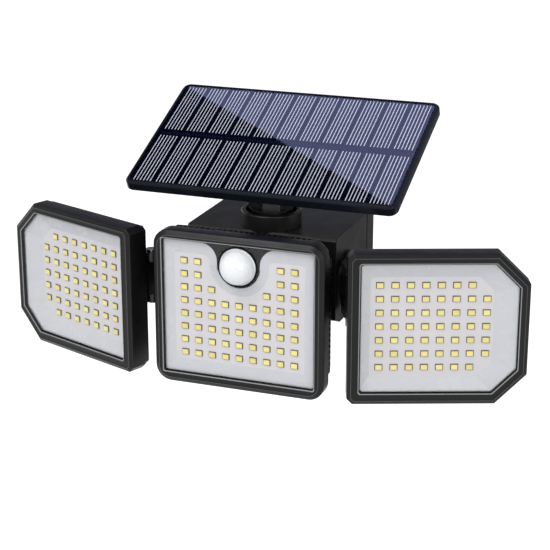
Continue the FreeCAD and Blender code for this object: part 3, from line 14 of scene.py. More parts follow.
import bmesh
import bpy
import numpy as np
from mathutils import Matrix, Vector


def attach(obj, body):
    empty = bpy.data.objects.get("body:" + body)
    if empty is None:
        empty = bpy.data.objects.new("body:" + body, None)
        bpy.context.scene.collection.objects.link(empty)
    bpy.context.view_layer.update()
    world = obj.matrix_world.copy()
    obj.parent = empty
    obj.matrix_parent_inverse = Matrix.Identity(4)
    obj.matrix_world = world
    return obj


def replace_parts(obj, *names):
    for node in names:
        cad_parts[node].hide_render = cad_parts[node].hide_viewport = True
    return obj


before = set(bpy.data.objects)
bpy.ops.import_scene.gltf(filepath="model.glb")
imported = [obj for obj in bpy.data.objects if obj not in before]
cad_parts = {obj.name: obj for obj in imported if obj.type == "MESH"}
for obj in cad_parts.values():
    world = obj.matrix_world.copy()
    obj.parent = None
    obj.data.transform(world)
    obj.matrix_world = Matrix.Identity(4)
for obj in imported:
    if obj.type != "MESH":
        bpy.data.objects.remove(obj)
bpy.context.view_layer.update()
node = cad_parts
MM = 0.001  # one millimetre in Blender's metres

# %% [markdown]
# ## The camera
#
# The grids of LEDs in the three heads fix where the picture was taken from: a little to the
# right of the light, above it, and about 1 m away. The focal length follows from how many
# pixels of the 550 pixel wide picture one unit of slope covers. Setting the camera first
# means that every later step can be judged in the right frame.

# %% Camera
PICTURE_WIDTH = 550  # pixels
PIXELS_PER_SLOPE = 1600
SENSOR_WIDTH = 36.0  # mm
VIEW_AZIMUTH = math.radians(20.428)
VIEW_ELEVATION = math.radians(18.534)
CAMERA_PLACE = Vector((303.34, -886.06, 284.03)) * MM

camera_data = bpy.data.cameras.new("camera")
camera_data.sensor_width = SENSOR_WIDTH
camera_data.lens = PIXELS_PER_SLOPE / PICTURE_WIDTH * SENSOR_WIDTH
camera_data.clip_start = 0.01
camera = bpy.data.objects.new("camera", camera_data)
camera.location = CAMERA_PLACE
camera.rotation_euler = (math.pi / 2 - VIEW_ELEVATION, 0, VIEW_AZIMUTH)
bpy.context.scene.collection.objects.link(camera)
bpy.context.scene.camera = camera
print("lens, mm:", round(camera_data.lens, 1))

# %% [markdown]
# ## Studio light
#
# A product like this is shot in a tent of white cloth: big soft lamps and white all round.
# Black plastic shows its shape only by what it reflects, so the lamps are large. One long
# softbox hangs above and behind: the solar panel's clear sheet mirrors it, and the softbox's
# straight edge is the slanting border of the pale glare on the panel. Its place was found by
# following the camera's rays through two points of that border and mirroring them on the sheet.
# Beyond that edge the sheet mirrors something dark. Photographers call it a flag: a card of
# black or grey cloth, here seen only in mirror images, which keeps the white tent out of glossy
# black surfaces.

# %% Lamps
def area_lamp(name, place, turn, width, depth, watts, tint=(1.0, 1.0, 1.0)):
    """A flat rectangular lamp; turn is its rotation, as it shines along its own -Z."""
    data = bpy.data.lights.new(name, "AREA")
    data.shape = "RECTANGLE"
    data.size, data.size_y = width, depth
    data.energy = watts
    data.color = tint
    lamp = bpy.data.objects.new(name, data)
    lamp.location = place
    lamp.rotation_euler = turn
    bpy.context.scene.collection.objects.link(lamp)


def toward_middle(place):
    """Rotation that points a lamp's -Z at the middle of the light."""
    return (-Vector(place)).to_track_quat("-Z", "Y").to_euler()


KEY_PLACE = (-0.45, -1.25, 1.5)
FILL_PLACE = (1.3, -1.2, 0.5)
area_lamp("key", KEY_PLACE, toward_middle(KEY_PLACE), 1.0, 1.0, 22)
area_lamp("fill", FILL_PLACE, toward_middle(FILL_PLACE), 0.8, 1.2, 7)

EDGE_MIDDLE = np.array([-335.0, 390.0])  # mm, of the softbox's edge that the sheet mirrors
EDGE_DIRECTION = np.array([0.907, -0.421])
SOFTBOX_SIZE = (1000.0, 620.0)  # mm along the edge and away from it
SOFTBOX_HEIGHT = 900.0
inward = np.array([-EDGE_DIRECTION[1], EDGE_DIRECTION[0]])
softbox_middle = EDGE_MIDDLE + inward * SOFTBOX_SIZE[1] / 2
area_lamp("softbox", (softbox_middle[0] * MM, softbox_middle[1] * MM, SOFTBOX_HEIGHT * MM),
          (0, 0, math.atan2(EDGE_DIRECTION[1], EDGE_DIRECTION[0])),
          SOFTBOX_SIZE[0] * MM, SOFTBOX_SIZE[1] * MM, 3.0, (0.46, 0.52, 1.0))
print("softbox middle, mm:", softbox_middle.round(0))

# %% Flags
def dark_flag(name, corners):
    """A dark card from four corners in metres, seen by nothing but glossy rays."""
    mesh = bpy.data.meshes.new(name)
    mesh.from_pydata(corners, [], [(0, 1, 2, 3)])
    card = bpy.data.objects.new(name, mesh)
    bpy.context.scene.collection.objects.link(card)
    card.visible_camera = card.visible_diffuse = card.visible_transmission = False
    card.visible_shadow = False
    return card


OVERHEAD, FAR, NEAR = 1.0, 1.4, -0.6  # metres, above the softbox, behind and in front
SIDES = (-1.6, 0.9)
flags = [dark_flag("flag_overhead", [(SIDES[0], NEAR, OVERHEAD), (SIDES[1], NEAR, OVERHEAD),
                                     (SIDES[1], FAR, OVERHEAD), (SIDES[0], FAR, OVERHEAD)]),
         dark_flag("flag_behind", [(SIDES[0], FAR, 0.15), (SIDES[1], FAR, 0.15),
                                   (SIDES[1], FAR, OVERHEAD), (SIDES[0], FAR, OVERHEAD)]),
         dark_flag("flag_right", [(-0.05, 0.6, -0.41), (0.95, 0.6, -0.41),
                                  (0.95, 0.6, 0.35), (-0.05, 0.6, 0.35)])]
print("flags:", [card.name for card in flags])

# %% [markdown]
# ## Colours and nodes
#
# Colours are written as sRGB hex values, as a paint program shows them. Blender's shaders
# count in linear light, so one function undoes the curve of the sRGB standard. A second small
# function adds one node with its options, numbers and links, which keeps a material readable:
# one call is one node.

# %% Helpers for materials
def srgb(text):
    """A colour written as sRGB hex, as linear values: the curve of the sRGB standard undone."""
    values = [int(text[i:i + 2], 16) / 255 for i in (1, 3, 5)]
    return [v / 12.92 if v <= 0.04045 else ((v + 0.055) / 1.055) ** 2.4 for v in values] + [1.0]


def add(tree, kind, values=None, links=None, **options):
    """One new node: its options, the numbers of its sockets and what feeds its sockets.

    An output feeds a socket, or a node does, and then its first output is meant.
    """
    new = tree.nodes.new("ShaderNode" + kind)
    for name, value in options.items():
        setattr(new, name, value)
    for name, value in (values or {}).items():
        new.inputs[name].default_value = value
    for name, source in (links or {}).items():
        output = source.outputs[0] if isinstance(source, bpy.types.Node) else source
        tree.links.new(output, new.inputs[name])
    return new


def blank_material(name):
    """A new material and its empty node tree."""
    made = bpy.data.materials.new(name)
    made.use_nodes = True
    made.node_tree.nodes.clear()
    return made, made.node_tree


def per_mm(size):
    """Scale of a texture on Object coordinates whose features are this many mm across."""
    return 1 / (size * MM)


print("a middle grey of #808080 is", round(srgb("#808080")[0], 3), "in linear light")

# %% [markdown]
# ## World, floor and background
#
# The picture's background is plain white. The world is a pale grey for the rays that light
# the object, and full white, a strength of 1, only for the rays that see it straight, in a
# reflection or through something clear. That way the background is white without more light
# on the object. The floor is far below, because the light hangs on a wall, and keeps a soft
# shadow. The flags get their cloth here too: black velvet, grey felt and grey wool.

# %% World
world = bpy.data.worlds.new("white tent")
bpy.context.scene.world = world
world.use_nodes = True
sky = world.node_tree
sky.nodes.clear()
WORLD_LIGHT = 0.42


def sees_background(tree):
    """1 for rays that see the background itself: from the camera, mirrored or through."""
    seen = add(tree, "LightPath").outputs
    either = add(tree, "Math", links={0: seen["Is Camera Ray"], 1: seen["Is Transmission Ray"]},
                 operation="MAXIMUM")
    return add(tree, "Math", links={0: either, 1: seen["Is Glossy Ray"]}, operation="MAXIMUM")


dim = add(sky, "Background", {"Color": (1, 1, 1, 1), "Strength": WORLD_LIGHT})
full = add(sky, "Background", {"Color": (1, 1, 1, 1), "Strength": 1.0})
in_sight = add(sky, "MixShader", links={0: sees_background(sky), 1: dim, 2: full})
add(sky, "OutputWorld", links={"Surface": in_sight})
print("world:", WORLD_LIGHT, "as light, 1 as background")

# %% Floor
FLOOR_HEIGHT = -0.42  # metres, under a light that hangs on a wall
FLOOR_HALF = 9.0
floor_mesh = bpy.data.meshes.new("floor")
floor_mesh.from_pydata([(-FLOOR_HALF, -FLOOR_HALF, FLOOR_HEIGHT),
                        (FLOOR_HALF, -FLOOR_HALF, FLOOR_HEIGHT),
                        (FLOOR_HALF, FLOOR_HALF, FLOOR_HEIGHT),
                        (-FLOOR_HALF, FLOOR_HALF, FLOOR_HEIGHT)], [], [(0, 1, 2, 3)])
floor = bpy.data.objects.new("floor", floor_mesh)
bpy.context.scene.collection.objects.link(floor)

white_paper, tree = blank_material("white_paper")
lift = add(tree, "Math", {1: 0.7}, {0: sees_background(tree)}, operation="MULTIPLY")
paper = add(tree, "BsdfDiffuse", {"Color": srgb("#f0f0f0")})
glow = add(tree, "Emission", {"Color": (1, 1, 1, 1)}, {"Strength": lift})
both = add(tree, "AddShader", links={0: paper, 1: glow})
add(tree, "OutputMaterial", links={"Surface": both})
floor_mesh.materials.append(white_paper)

for card, name, tone in zip(flags, ("black_velvet", "grey_felt", "grey_wool"),
                            ("#050505", "#7c7c7c", "#969696")):
    cloth, tree = blank_material(name)
    pile = add(tree, "BsdfDiffuse", {"Color": srgb(tone)})
    add(tree, "OutputMaterial", links={"Surface": pile})
    card.data.materials.append(cloth)
print("floor of", white_paper.name, "at", FLOOR_HEIGHT, "m")

# %% [markdown]
# ## Black moulded plastic
#
# The housing, bezels, arms and panel frame are ABS, injection moulded in a steel mould whose
# walls were spark eroded to a fine satin grain. The eye sees a soft broad sheen, edges that
# catch a thin line of light, and a tone that isn't quite even. A noise pattern in the bump
# gives the grain, a slower one moves the roughness and the tone. The real grain is about
# 0.1 mm, too fine to show, so it is drawn at 0.35 mm. The bezels and the panel's rim carry an
# attribute named "edge", from 0 to 1. Where it is set the grain is smoother, polished by
# handling, and a lighter tone is mixed in: a painted highlight, the thin line of light along
# those edges.

# %% Black ABS
HIGHLIGHT_SHARE, WORN_GLOSS = 0.8, 0.10  # of a fully marked edge: share of the painted highlight tone, and how much less rough its polish is
SHEEN_DRIFT = 0.05  # how far the roughness drifts each way


def moulded_plastic(name, tone, dark_tone, rough, grain=0.35, relief=0.012, highlight_tone=None,
                    specular=0.5):
    """Injection moulded plastic: tone drifts to dark_tone over some 15 mm, fine grain in mm; where
    the edge attribute is set, a lighter tone is mixed in as a painted highlight.
    """
    made, tree = blank_material(name)
    place = add(tree, "TexCoord").outputs["Object"]
    drift = add(tree, "TexNoise", {"Scale": per_mm(15.0), "Detail": 3.0, "Roughness": 0.6},
                {"Vector": place})
    fine = add(tree, "TexNoise", {"Scale": per_mm(grain)}, {"Vector": place})
    edge = add(tree, "Attribute", attribute_name="edge").outputs["Fac"]
    unhighlighted = add(tree, "Mix", {6: srgb(dark_tone), 7: srgb(tone)}, {0: drift}, data_type="RGBA")
    # The edge attribute mixes in a lighter tone here: a painted highlight.
    highlight_weight = add(tree, "Math", {1: HIGHLIGHT_SHARE}, {0: edge}, operation="MULTIPLY")
    colour = add(tree, "Mix", {7: srgb(highlight_tone or tone)}, {0: highlight_weight, 6: unhighlighted.outputs[2]},
                 data_type="RGBA")
    sheen = add(tree, "MapRange", {1: 0.3, 2: 0.7, 3: rough - SHEEN_DRIFT,
                                   4: rough + SHEEN_DRIFT}, {0: drift})
    polished = add(tree, "Math", {1: -WORN_GLOSS}, {0: edge, 2: sheen},
                   operation="MULTIPLY_ADD")
    bump = add(tree, "Bump", {"Strength": 0.6, "Distance": relief * MM}, {"Height": fine})
    skin = add(tree, "BsdfPrincipled", {"Metallic": 0.0, "IOR": 1.53,
                                        "Specular IOR Level": specular},
               {"Base Color": colour.outputs[2], "Roughness": polished, "Normal": bump})
    add(tree, "OutputMaterial", links={"Surface": skin})
    return made


# Each plastic's edge tone is a painted highlight, mixed in where the edge attribute is set; only
# the bezels and the panel's rim carry it.
black_abs = moulded_plastic("moulded_black_abs", "#141414", "#0f0f0e", 0.36,
                            highlight_tone="#9a9b9d", specular=0.24)
bezel_abs = moulded_plastic("moulded_black_abs_bezel", "#111111", "#0c0c0c", 0.36,
                            highlight_tone="#a6a7a9", specular=0.19)
post_abs = moulded_plastic("moulded_black_abs_post", "#131313", "#0e0e0e", 0.34,
                           highlight_tone="#484848", specular=0.4)
# The arms' tone is lighter and bluer than the other black ABS: painted light, standing in for the
# light that falls on them.
arm_abs_painted_lighter = moulded_plastic("moulded_black_abs_arm_painted_lighter", "#1e2228", "#16191e", 0.3,
                          highlight_tone="#34373c", specular=0.4)
# The frame's blue-grey edge tone is a painted reflection on the rim's rounded edges.
frame_abs = moulded_plastic("moulded_black_abs_frame", "#07080a", "#040506", 0.36,
                            highlight_tone="#161c24", specular=0.08)
print("black plastics:", black_abs.name, bezel_abs.name, post_abs.name, arm_abs_painted_lighter.name,
      frame_abs.name)

# %% [markdown]
# ## White plastics inside the heads
#
# The reflectors are white polycarbonate from a polished mould, so they are glossy and throw
# light onto the LED board. The dome over the infrared sensor is thin polyethylene, the only
# common plastic that lets body heat through: milky, waxy and slightly translucent, with fine
# lens segments moulded on its inside that show through as faint rings and spokes. The LED
# boards carry a white solder mask, a matt lacquer with the least violet cast.

# %% Polycarbonate, polyethylene and solder mask
white_pc = moulded_plastic("polished_white_polycarbonate", "#dcdee2", "#d4d7dd", 0.26,
                           grain=2.5, relief=0.01, specular=0.5)

white_mask, tree = blank_material("white_solder_mask")
place = add(tree, "TexCoord").outputs["Object"]
weave = add(tree, "TexNoise", {"Scale": per_mm(0.8)}, {"Vector": place})
drift = add(tree, "TexNoise", {"Scale": per_mm(22.0)}, {"Vector": place})
white = add(tree, "Mix", {6: srgb("#e1dfe2"), 7: srgb("#eae8eb")}, {0: drift}, data_type="RGBA")
bump = add(tree, "Bump", {"Strength": 0.4, "Distance": 0.02 * MM}, {"Height": weave})
skin = add(tree, "BsdfPrincipled", {"Roughness": 0.45, "IOR": 1.5},
           {"Base Color": white.outputs[2], "Normal": bump})
add(tree, "OutputMaterial", links={"Surface": skin})
print("white finishes:", white_pc.name, white_mask.name)

# %% [markdown]
# ## Clear covers
#
# Each head is shut by a flat cover of clear acrylic (PMMA), cut from extruded sheet. One sees
# through it almost unhindered, and near its surface only a weak mirror image of the tent. A
# thin flat sheet doesn't bend the view, so instead of glass the shader mixes Transparent with
# Glossy. The Fresnel node sets how much the mirror image counts: 3 to 6 % straight on, much
# more at a shallow angle. It counts on front faces only: at the back faces the unbent ray would
# seem to be caught inside the sheet. A slow noise in the bump is the unevenness of rolled sheet.
# Acrylic's index is 1.49. The 1.38 here matches the weaker mirror image on the real heads.
# The laminated sheet over the solar cells is made the same way, smoother and more mirrorlike.

# %% Acrylic and panel sheet
def clear_sheet(name, tint, ior, rough, ripple):
    """A clear flat sheet: tint is what one face lets through, ripple its unevenness in mm."""
    made, tree = blank_material(name)
    place = add(tree, "TexCoord").outputs["Object"]
    slow = add(tree, "TexNoise", {"Scale": per_mm(18.0), "Detail": 1.0}, {"Vector": place})
    waves = add(tree, "Bump", {"Strength": 0.3, "Distance": ripple * MM}, {"Height": slow})
    through = add(tree, "BsdfTransparent", {"Color": srgb(tint)})
    mirror = add(tree, "BsdfGlossy", {"Roughness": rough, "Color": (1, 1, 1, 1)},
                 {"Normal": waves})
    fresnel = add(tree, "Fresnel", {"IOR": ior}, {"Normal": waves})
    back = add(tree, "NewGeometry").outputs["Backfacing"]
    front = add(tree, "Math", {0: 1.0}, {1: back}, operation="SUBTRACT")
    share = add(tree, "Math", links={0: fresnel, 1: front}, operation="MULTIPLY")
    sheet = add(tree, "MixShader", links={0: share, 1: through, 2: mirror})
    add(tree, "OutputMaterial", links={"Surface": sheet})
    return made


acrylic = clear_sheet("clear_extruded_acrylic", "#fbfbfb", 1.38, 0.06, 0.01)
pet_sheet = clear_sheet("clear_laminate_sheet", "#f4f6fa", 1.62, 0.02, 0.004)
print("clear sheets:", acrylic.name, pet_sheet.name)

# %% [markdown]
# ## Metals, rubber and small parts
#
# Screws and pins are steel with a bright zinc plating, which has a fine grain and faint
# patches where the bath was uneven. A metal in the Principled shader keeps its default IOR,
# its colour is its mirror colour. Seals and the gasket are EPDM rubber, dull black. The
# battery cells wear a shrunk PVC sleeve, the control board a green solder mask over glass
# fibre weave, and the infrared detector sits in a nickel plated can.

# %% Zinc plated steel
def plated_metal(name, tone, shade, rough, patch, metallic=1.0):
    """Plated metal: the tone drifts in patches of this many mm, with a fine grain."""
    made, tree = blank_material(name)
    place = add(tree, "TexCoord").outputs["Object"]
    cloud = add(tree, "TexNoise", {"Scale": per_mm(patch), "Detail": 4.0}, {"Vector": place})
    grain = add(tree, "TexNoise", {"Scale": per_mm(0.25)}, {"Vector": place})
    colour = add(tree, "Mix", {6: srgb(shade), 7: srgb(tone)}, {0: cloud}, data_type="RGBA")
    dull = add(tree, "MapRange", {1: 0.3, 2: 0.7, 3: rough - 0.06, 4: rough + 0.08}, {0: cloud})
    bump = add(tree, "Bump", {"Strength": 0.5, "Distance": 0.008 * MM}, {"Height": grain})
    skin = add(tree, "BsdfPrincipled", {"Metallic": metallic},
               {"Base Color": colour.outputs[2], "Roughness": dull, "Normal": bump})
    add(tree, "OutputMaterial", links={"Surface": skin})
    return made


zinc_steel = plated_metal("zinc_plated_steel", "#c9ccd0", "#a9adb2", 0.28, 3.0)
nickel_can = plated_metal("nickel_plated_can", "#cfc8ba", "#b5ae9f", 0.22, 2.0)
# Fired silver paste is porous: it scatters light like a pale powder more than it mirrors.
silver_paste = plated_metal("printed_silver_paste", "#eeeef2", "#dcdde4", 0.5, 4.0, metallic=0.1)
print("metals:", zinc_steel.name, nickel_can.name, silver_paste.name)

# %% Rubber, sleeve and board lacquer
rubber = moulded_plastic("epdm_rubber", "#1c1c1c", "#121212", 0.78, grain=0.6, relief=0.03,
                         specular=0.3)
pvc_sleeve = moulded_plastic("blue_pvc_sleeve", "#2f66a8", "#27558f", 0.3, grain=4.0,
                             relief=0.02)
tray_plastic = moulded_plastic("black_polypropylene", "#2c2c2e", "#222224", 0.55, grain=0.5,
                               relief=0.02)
green_mask, tree = blank_material("green_solder_mask")
place = add(tree, "TexCoord").outputs["Object"]
weave = add(tree, "TexBrick", {"Scale": per_mm(1.2), "Color1": srgb("#1f6b3c"),
                               "Color2": srgb("#1b6036"), "Mortar": srgb("#18552f"),
                               "Mortar Size": 0.06}, {"Vector": place})
skin = add(tree, "BsdfPrincipled", {"Roughness": 0.35, "IOR": 1.5},
           {"Base Color": weave.outputs["Color"]})
add(tree, "OutputMaterial", links={"Surface": skin})
print("soft and board finishes:", rubber.name, pvc_sleeve.name, green_mask.name)

# %% [markdown]
# ## Shapes carried along an outline
#
# A bezel or a panel frame is one cross-section carried round a closed outline. Both are
# polygons whose corners are rounded, so one function rounds a closed polygon: each corner
# becomes a circular arc that touches its two sides. The surface is then a grid of two
# parameters, the place along the cross-section and the place along the outline. The corner
# arcs always get the same number of points, so outlines of different sizes match point by
# point. That is why a rounded edge, which the solids leave out, costs nothing here.

# %% Rounding a polygon
def rounded_polygon(corners, radii, steps):
    """Points round a closed polygon with round corners, as an array (corners * steps, 2).

    In each corner the arc's centre lies on the bisector, radius / sin(half angle) away, and
    the arc's points turn evenly from the normal of one side to the normal of the other.
    """
    corners = np.asarray(corners, float)
    radii = np.broadcast_to(np.asarray(radii, float), len(corners))[:, None]
    before = np.roll(corners, 1, axis=0) - corners
    after = np.roll(corners, -1, axis=0) - corners
    before /= np.linalg.norm(before, axis=1, keepdims=True)
    after /= np.linalg.norm(after, axis=1, keepdims=True)
    half = np.arccos(np.clip((before * after).sum(1, keepdims=True), -1, 1)) / 2
    inward = before + after
    inward /= np.linalg.norm(inward, axis=1, keepdims=True)
    centre = corners + inward * radii / np.sin(half)
    first = (corners + before * radii / np.tan(half) - centre) / radii
    last = (corners + after * radii / np.tan(half) - centre) / radii
    sweep = np.pi - 2 * half
    t = np.linspace(0, 1, steps)[None, :, None]
    turned = (np.sin((1 - t) * sweep[:, None]) * first[:, None]
              + np.sin(t * sweep[:, None]) * last[:, None]) / np.sin(sweep[:, None])
    return (centre[:, None] + turned * radii[:, None]).reshape(-1, 2)


print("a rounded triangle:", len(rounded_polygon([(0, 0), (9, 0), (0, 9)], 1, 5)), "points")

# %% From grid to piece
def closed_faces(rows, columns, wrap_rows):
    """Four-sided faces of a grid that closes on itself along its columns, and rows if asked."""
    i = np.arange(rows if wrap_rows else rows - 1)[:, None]
    j = np.arange(columns)[None, :]
    i2, j2 = (i + 1) % rows, (j + 1) % columns
    return np.stack([i * columns + j, i * columns + j2, i2 * columns + j2, i2 * columns + j],
                    axis=-1).reshape(-1, 4)


def volume(points, faces):
    """Signed volume: the sum over triangles of corner . (corner x corner) / 6."""
    a, b, c = points[faces[:, 0]], points[faces[:, 1]], points[faces[:, 2]]
    d = points[faces[:, 3]]
    return (np.einsum("ij,ij->i", a, np.cross(b, c)).sum()
            + np.einsum("ij,ij->i", a, np.cross(c, d)).sum()) / 6


def new_piece(name, points, faces, materials, slots=None, polish_and_highlight=None, smooth=True):
    """A mesh object from points in mm and four-sided faces, turned so that they face outwards."""
    points = np.asarray(points, float) * MM
    faces = np.asarray(faces)
    if volume(points - points.mean(0), faces) < 0:
        faces = faces[:, ::-1]
    mesh = bpy.data.meshes.new(name)
    mesh.from_pydata(points.tolist(), [], faces.tolist())
    for material in materials:
        mesh.materials.append(material)
    if slots is not None:
        mesh.polygons.foreach_set("material_index", np.asarray(slots, np.int32))
    # These marks become the edge attribute: a smoother finish and a painted highlight in the
    # moulded plastic.
    if polish_and_highlight is not None:
        layer = mesh.attributes.new("edge", "FLOAT", "POINT")
        layer.data.foreach_set("value", np.asarray(polish_and_highlight, np.float32))
    mesh.polygons.foreach_set("use_smooth", np.full(len(mesh.polygons), smooth))
    mesh.update()
    piece = bpy.data.objects.new(name, mesh)
    bpy.context.scene.collection.objects.link(piece)
    return piece


def crisp(piece, angle):
    """Splits the shading at edges sharper than this angle, so that flat faces stay flat."""
    piece.data.set_sharp_from_angle(angle=math.radians(angle))
    return piece


print("a grid of 3 x 4 points closed both ways:", len(closed_faces(3, 4, True)), "faces")

# %% [markdown]
# ## Bezels
#
# The bezel is the black frame round a lamp head's window. Its cross-section, read off the
# light in its photograph, has a flat bevel, a crest, a slightly hollow face that rises to a
# ridge, and a steep lip down to the clear cover. Its edges are rounded by up to 0.5 mm. The
# roundings of crest and ridge are polished a little by handling, and a lighter tone on them is
# a painted highlight: the thin bright lines that draw the heads' shape. A box with a hole and
# a Bevel modifier would give every edge the same shape, while a carried cross-section gives
# each edge its own. The window sits a little off the middle, so the rows of the grid that
# belong to it are shifted with it.

# %% Outlines of the heads
CUT_SHRINK = 2 - math.sqrt(2)  # what a 45 degree corner cut loses per mm of inset
# In mm: half sizes, cut of the outer and of the inner corners, corner radius, the window's
# shift and the depth of the screws' seats.
CENTRE_HEAD = {"half": (49.4, 44.0), "cut": 0.0, "small": 0.0, "corner": 9.0,
               "window": (0.0, 0.8), "seat": 10.0}
SIDE_HEAD = {"half": (48.1, 42.2), "cut": 16.7, "small": 3.0, "corner": 1.2,
             "window": (0.5, 0.6), "seat": 10.6}
WINDOW_CORNER = 1.1  # radius of the centre window's corners
CORNER_STEPS = 9  # points to each corner


def head_outline(head, inset, corner=None):
    """A head's outline shrunk by inset, as points (x, z) in the head's own frame."""
    w, h = head["half"][0] - inset, head["half"][1] - inset
    if head["cut"] == 0:
        radius = max(head["corner"] - inset, 0.9) if corner is None else corner
        return rounded_polygon([(-w, -h), (w, -h), (w, h), (-w, h)], radius, CORNER_STEPS)
    cut = head["cut"] - inset * CUT_SHRINK
    small = max(head["small"] - inset * CUT_SHRINK, 1.0)
    r, s = head["corner"], 0.3 * small
    return rounded_polygon([(-w + small, -h), (w - cut, -h), (w, -h + cut), (w, h - cut),
                            (w - cut, h), (-w + small, h), (-w, h - small), (-w, -h + small)],
                           [s, r, r, r, r, s, s, s], CORNER_STEPS)


print("points round a head:", len(head_outline(CENTRE_HEAD, 0)), len(head_outline(SIDE_HEAD, 0)))

# %% Carry a cross-section round a head
SECTION_STEPS = 5


def bezel_surface(head, section):
    """Grid of a bezel: rows follow the cross-section, columns the outline.

    section holds (inset, depth, rounding, belongs to the window, polish with painted highlight).
    Its corners are rounded, and each point of it gives one outline at that inset and depth.
    """
    section = np.array(section, float)
    profile = rounded_polygon(section[:, :2], section[:, 2], SECTION_STEPS)
    window = np.repeat(section[:, 3], SECTION_STEPS)
    rows = []
    for (inset, depth), of_window in zip(profile, window):
        corner = WINDOW_CORNER if of_window and head["cut"] == 0 else None
        flat = head_outline(head, inset, corner) + np.array(head["window"]) * of_window
        rows.append(np.column_stack([flat[:, 0], np.full(len(flat), depth), flat[:, 1]]))
    points = np.array(rows)
    along_arc = (np.abs(np.arange(SECTION_STEPS) - SECTION_STEPS // 2) < 2).astype(float)
    polish_and_highlight = np.repeat((section[:, 4:] * along_arc).ravel(), points.shape[1])
    return points.reshape(-1, 3), closed_faces(len(rows), points.shape[1], True), polish_and_highlight


print(SECTION_STEPS, "points to each rounding")

# %% Places of the heads
CENTRE_PLACE = np.array([0.0, -128.0, -12.0])  # mm, the middle of the LEDs' plane
SIDE_PIN = np.array([60.4, -107.7, 0.0])
PIN_IN_HEAD = np.array([-42.0, 19.5, 12.3])
SIDE_TURN = math.radians(21.1)


def to_centre(points):
    """From the centre head's frame to the light's."""
    return points + CENTRE_PLACE


def to_right(points):
    """From the side head's frame to the light's: moved to the pin and turned outward there."""
    x, y, z = (points - PIN_IN_HEAD).T
    c, s = math.cos(SIDE_TURN), math.sin(SIDE_TURN)
    return np.column_stack([x * c - y * s, x * s + y * c, z]) + SIDE_PIN


def to_left(points):
    """The right head's place, mirrored."""
    return to_right(points) * np.array([-1.0, 1.0, 1.0])


HEADS = (("centre", CENTRE_HEAD, to_centre), ("right", SIDE_HEAD, to_right),
         ("left", SIDE_HEAD, to_left))
print("middle of the right head, mm:", to_right(np.zeros((1, 3)))[0].round(1))

# %% Bezels of the three heads
# The last column is polish: a smoother finish and a painted highlight, a lighter tone, along crest
# and ridge.
CENTRE_SECTION = [(0.0, 7.0, 0.15, 0, 0), (0.0, -0.9, 0.3, 0, 0), (0.3, -1.3, 0.3, 0, 0.1),
                  (2.8, -2.8, 0.5, 0, 0.3), (3.6, -2.62, 0.3, 0, 0), (4.5, -2.72, 0.2, 1, 0),
                  (5.2, -3.08, 0.5, 1, 1), (6.1, -1.3, 0.05, 1, 0), (6.1, -1.2, 0.05, 1, 0),
                  (2.65, -1.2, 0.05, 0, 0), (2.65, 7.0, 0.1, 0, 0)]
SIDE_SECTION = [(0.0, 6.8, 0.15, 0, 0), (0.0, -2.9, 0.3, 0, 0), (0.2, -3.2, 0.3, 0, 0.1),
                (2.2, -4.4, 0.5, 0, 0.3), (3.2, -4.24, 0.3, 0, 0), (4.7, -4.3, 0.3, 1, 0),
                (5.7, -4.68, 0.5, 1, 1), (6.6, -3.1, 0.05, 1, 0), (6.6, -3.0, 0.05, 1, 0),
                (2.65, -3.0, 0.05, 0, 0), (2.65, 6.8, 0.1, 0, 0)]
for side, head, place_head in HEADS:
    section = CENTRE_SECTION if side == "centre" else SIDE_SECTION
    points, faces, polish_and_highlight = bezel_surface(head, section)
    bezel = new_piece(side + "_bezel_moulding", place_head(points), faces, [bezel_abs],
                      polish_and_highlight=polish_and_highlight)
    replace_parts(crisp(bezel, 50), side + "_bezel")
    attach(bezel, side + "_head")
    print(bezel.name, len(bezel.data.polygons), "faces")

# %% [markdown]
# ## Rim of the solar panel
#
# The rim is another cross-section carried round a rounded rectangle: a wide cut along its
# upper edge, a flat side and a cut below. The panel leans on its hinge, so the grid is worked
# out flat, in the panel's own frame, and then tilted onto the hinge axis.

# %% Place of the panel
PANEL_HALF = (79.5, 48.75)  # mm
PANEL_TILT = math.radians(23.5)
PANEL_HINGE = np.array([0.0, -77.4, 43.5])
PANEL_SHIFT, PANEL_UNDERSIDE, PANEL_TOP = 27.4, 7.3, 14.9  # from the hinge, in its frame
RIM_WIDTH, RIM_LIP, SHEET_THICKNESS = 2.6, 0.3, 0.4
CELLS_TOP = PANEL_TOP - RIM_LIP - SHEET_THICKNESS


def to_panel(points):
    """From the panel's frame (right, up the slope, off the face) to the light's: a turn about X."""
    x, y, z = points.T
    c, s = math.cos(PANEL_TILT), math.sin(PANEL_TILT)
    return np.column_stack([x, y * c - z * s, y * s + z * c]) + PANEL_HINGE


def panel_outline(inset):
    """The panel's rounded rectangle shrunk by inset, as (right, up the slope)."""
    w, h = PANEL_HALF[0] - inset, PANEL_HALF[1] - inset
    flat = rounded_polygon([(-w, -h), (w, -h), (w, h), (-w, h)], max(5.0 - inset, 0.8),
                           CORNER_STEPS)
    return flat + (0, PANEL_SHIFT)


print("middle of the panel, mm:", to_panel(np.array([[0, PANEL_SHIFT, PANEL_TOP]]))[0].round(1))

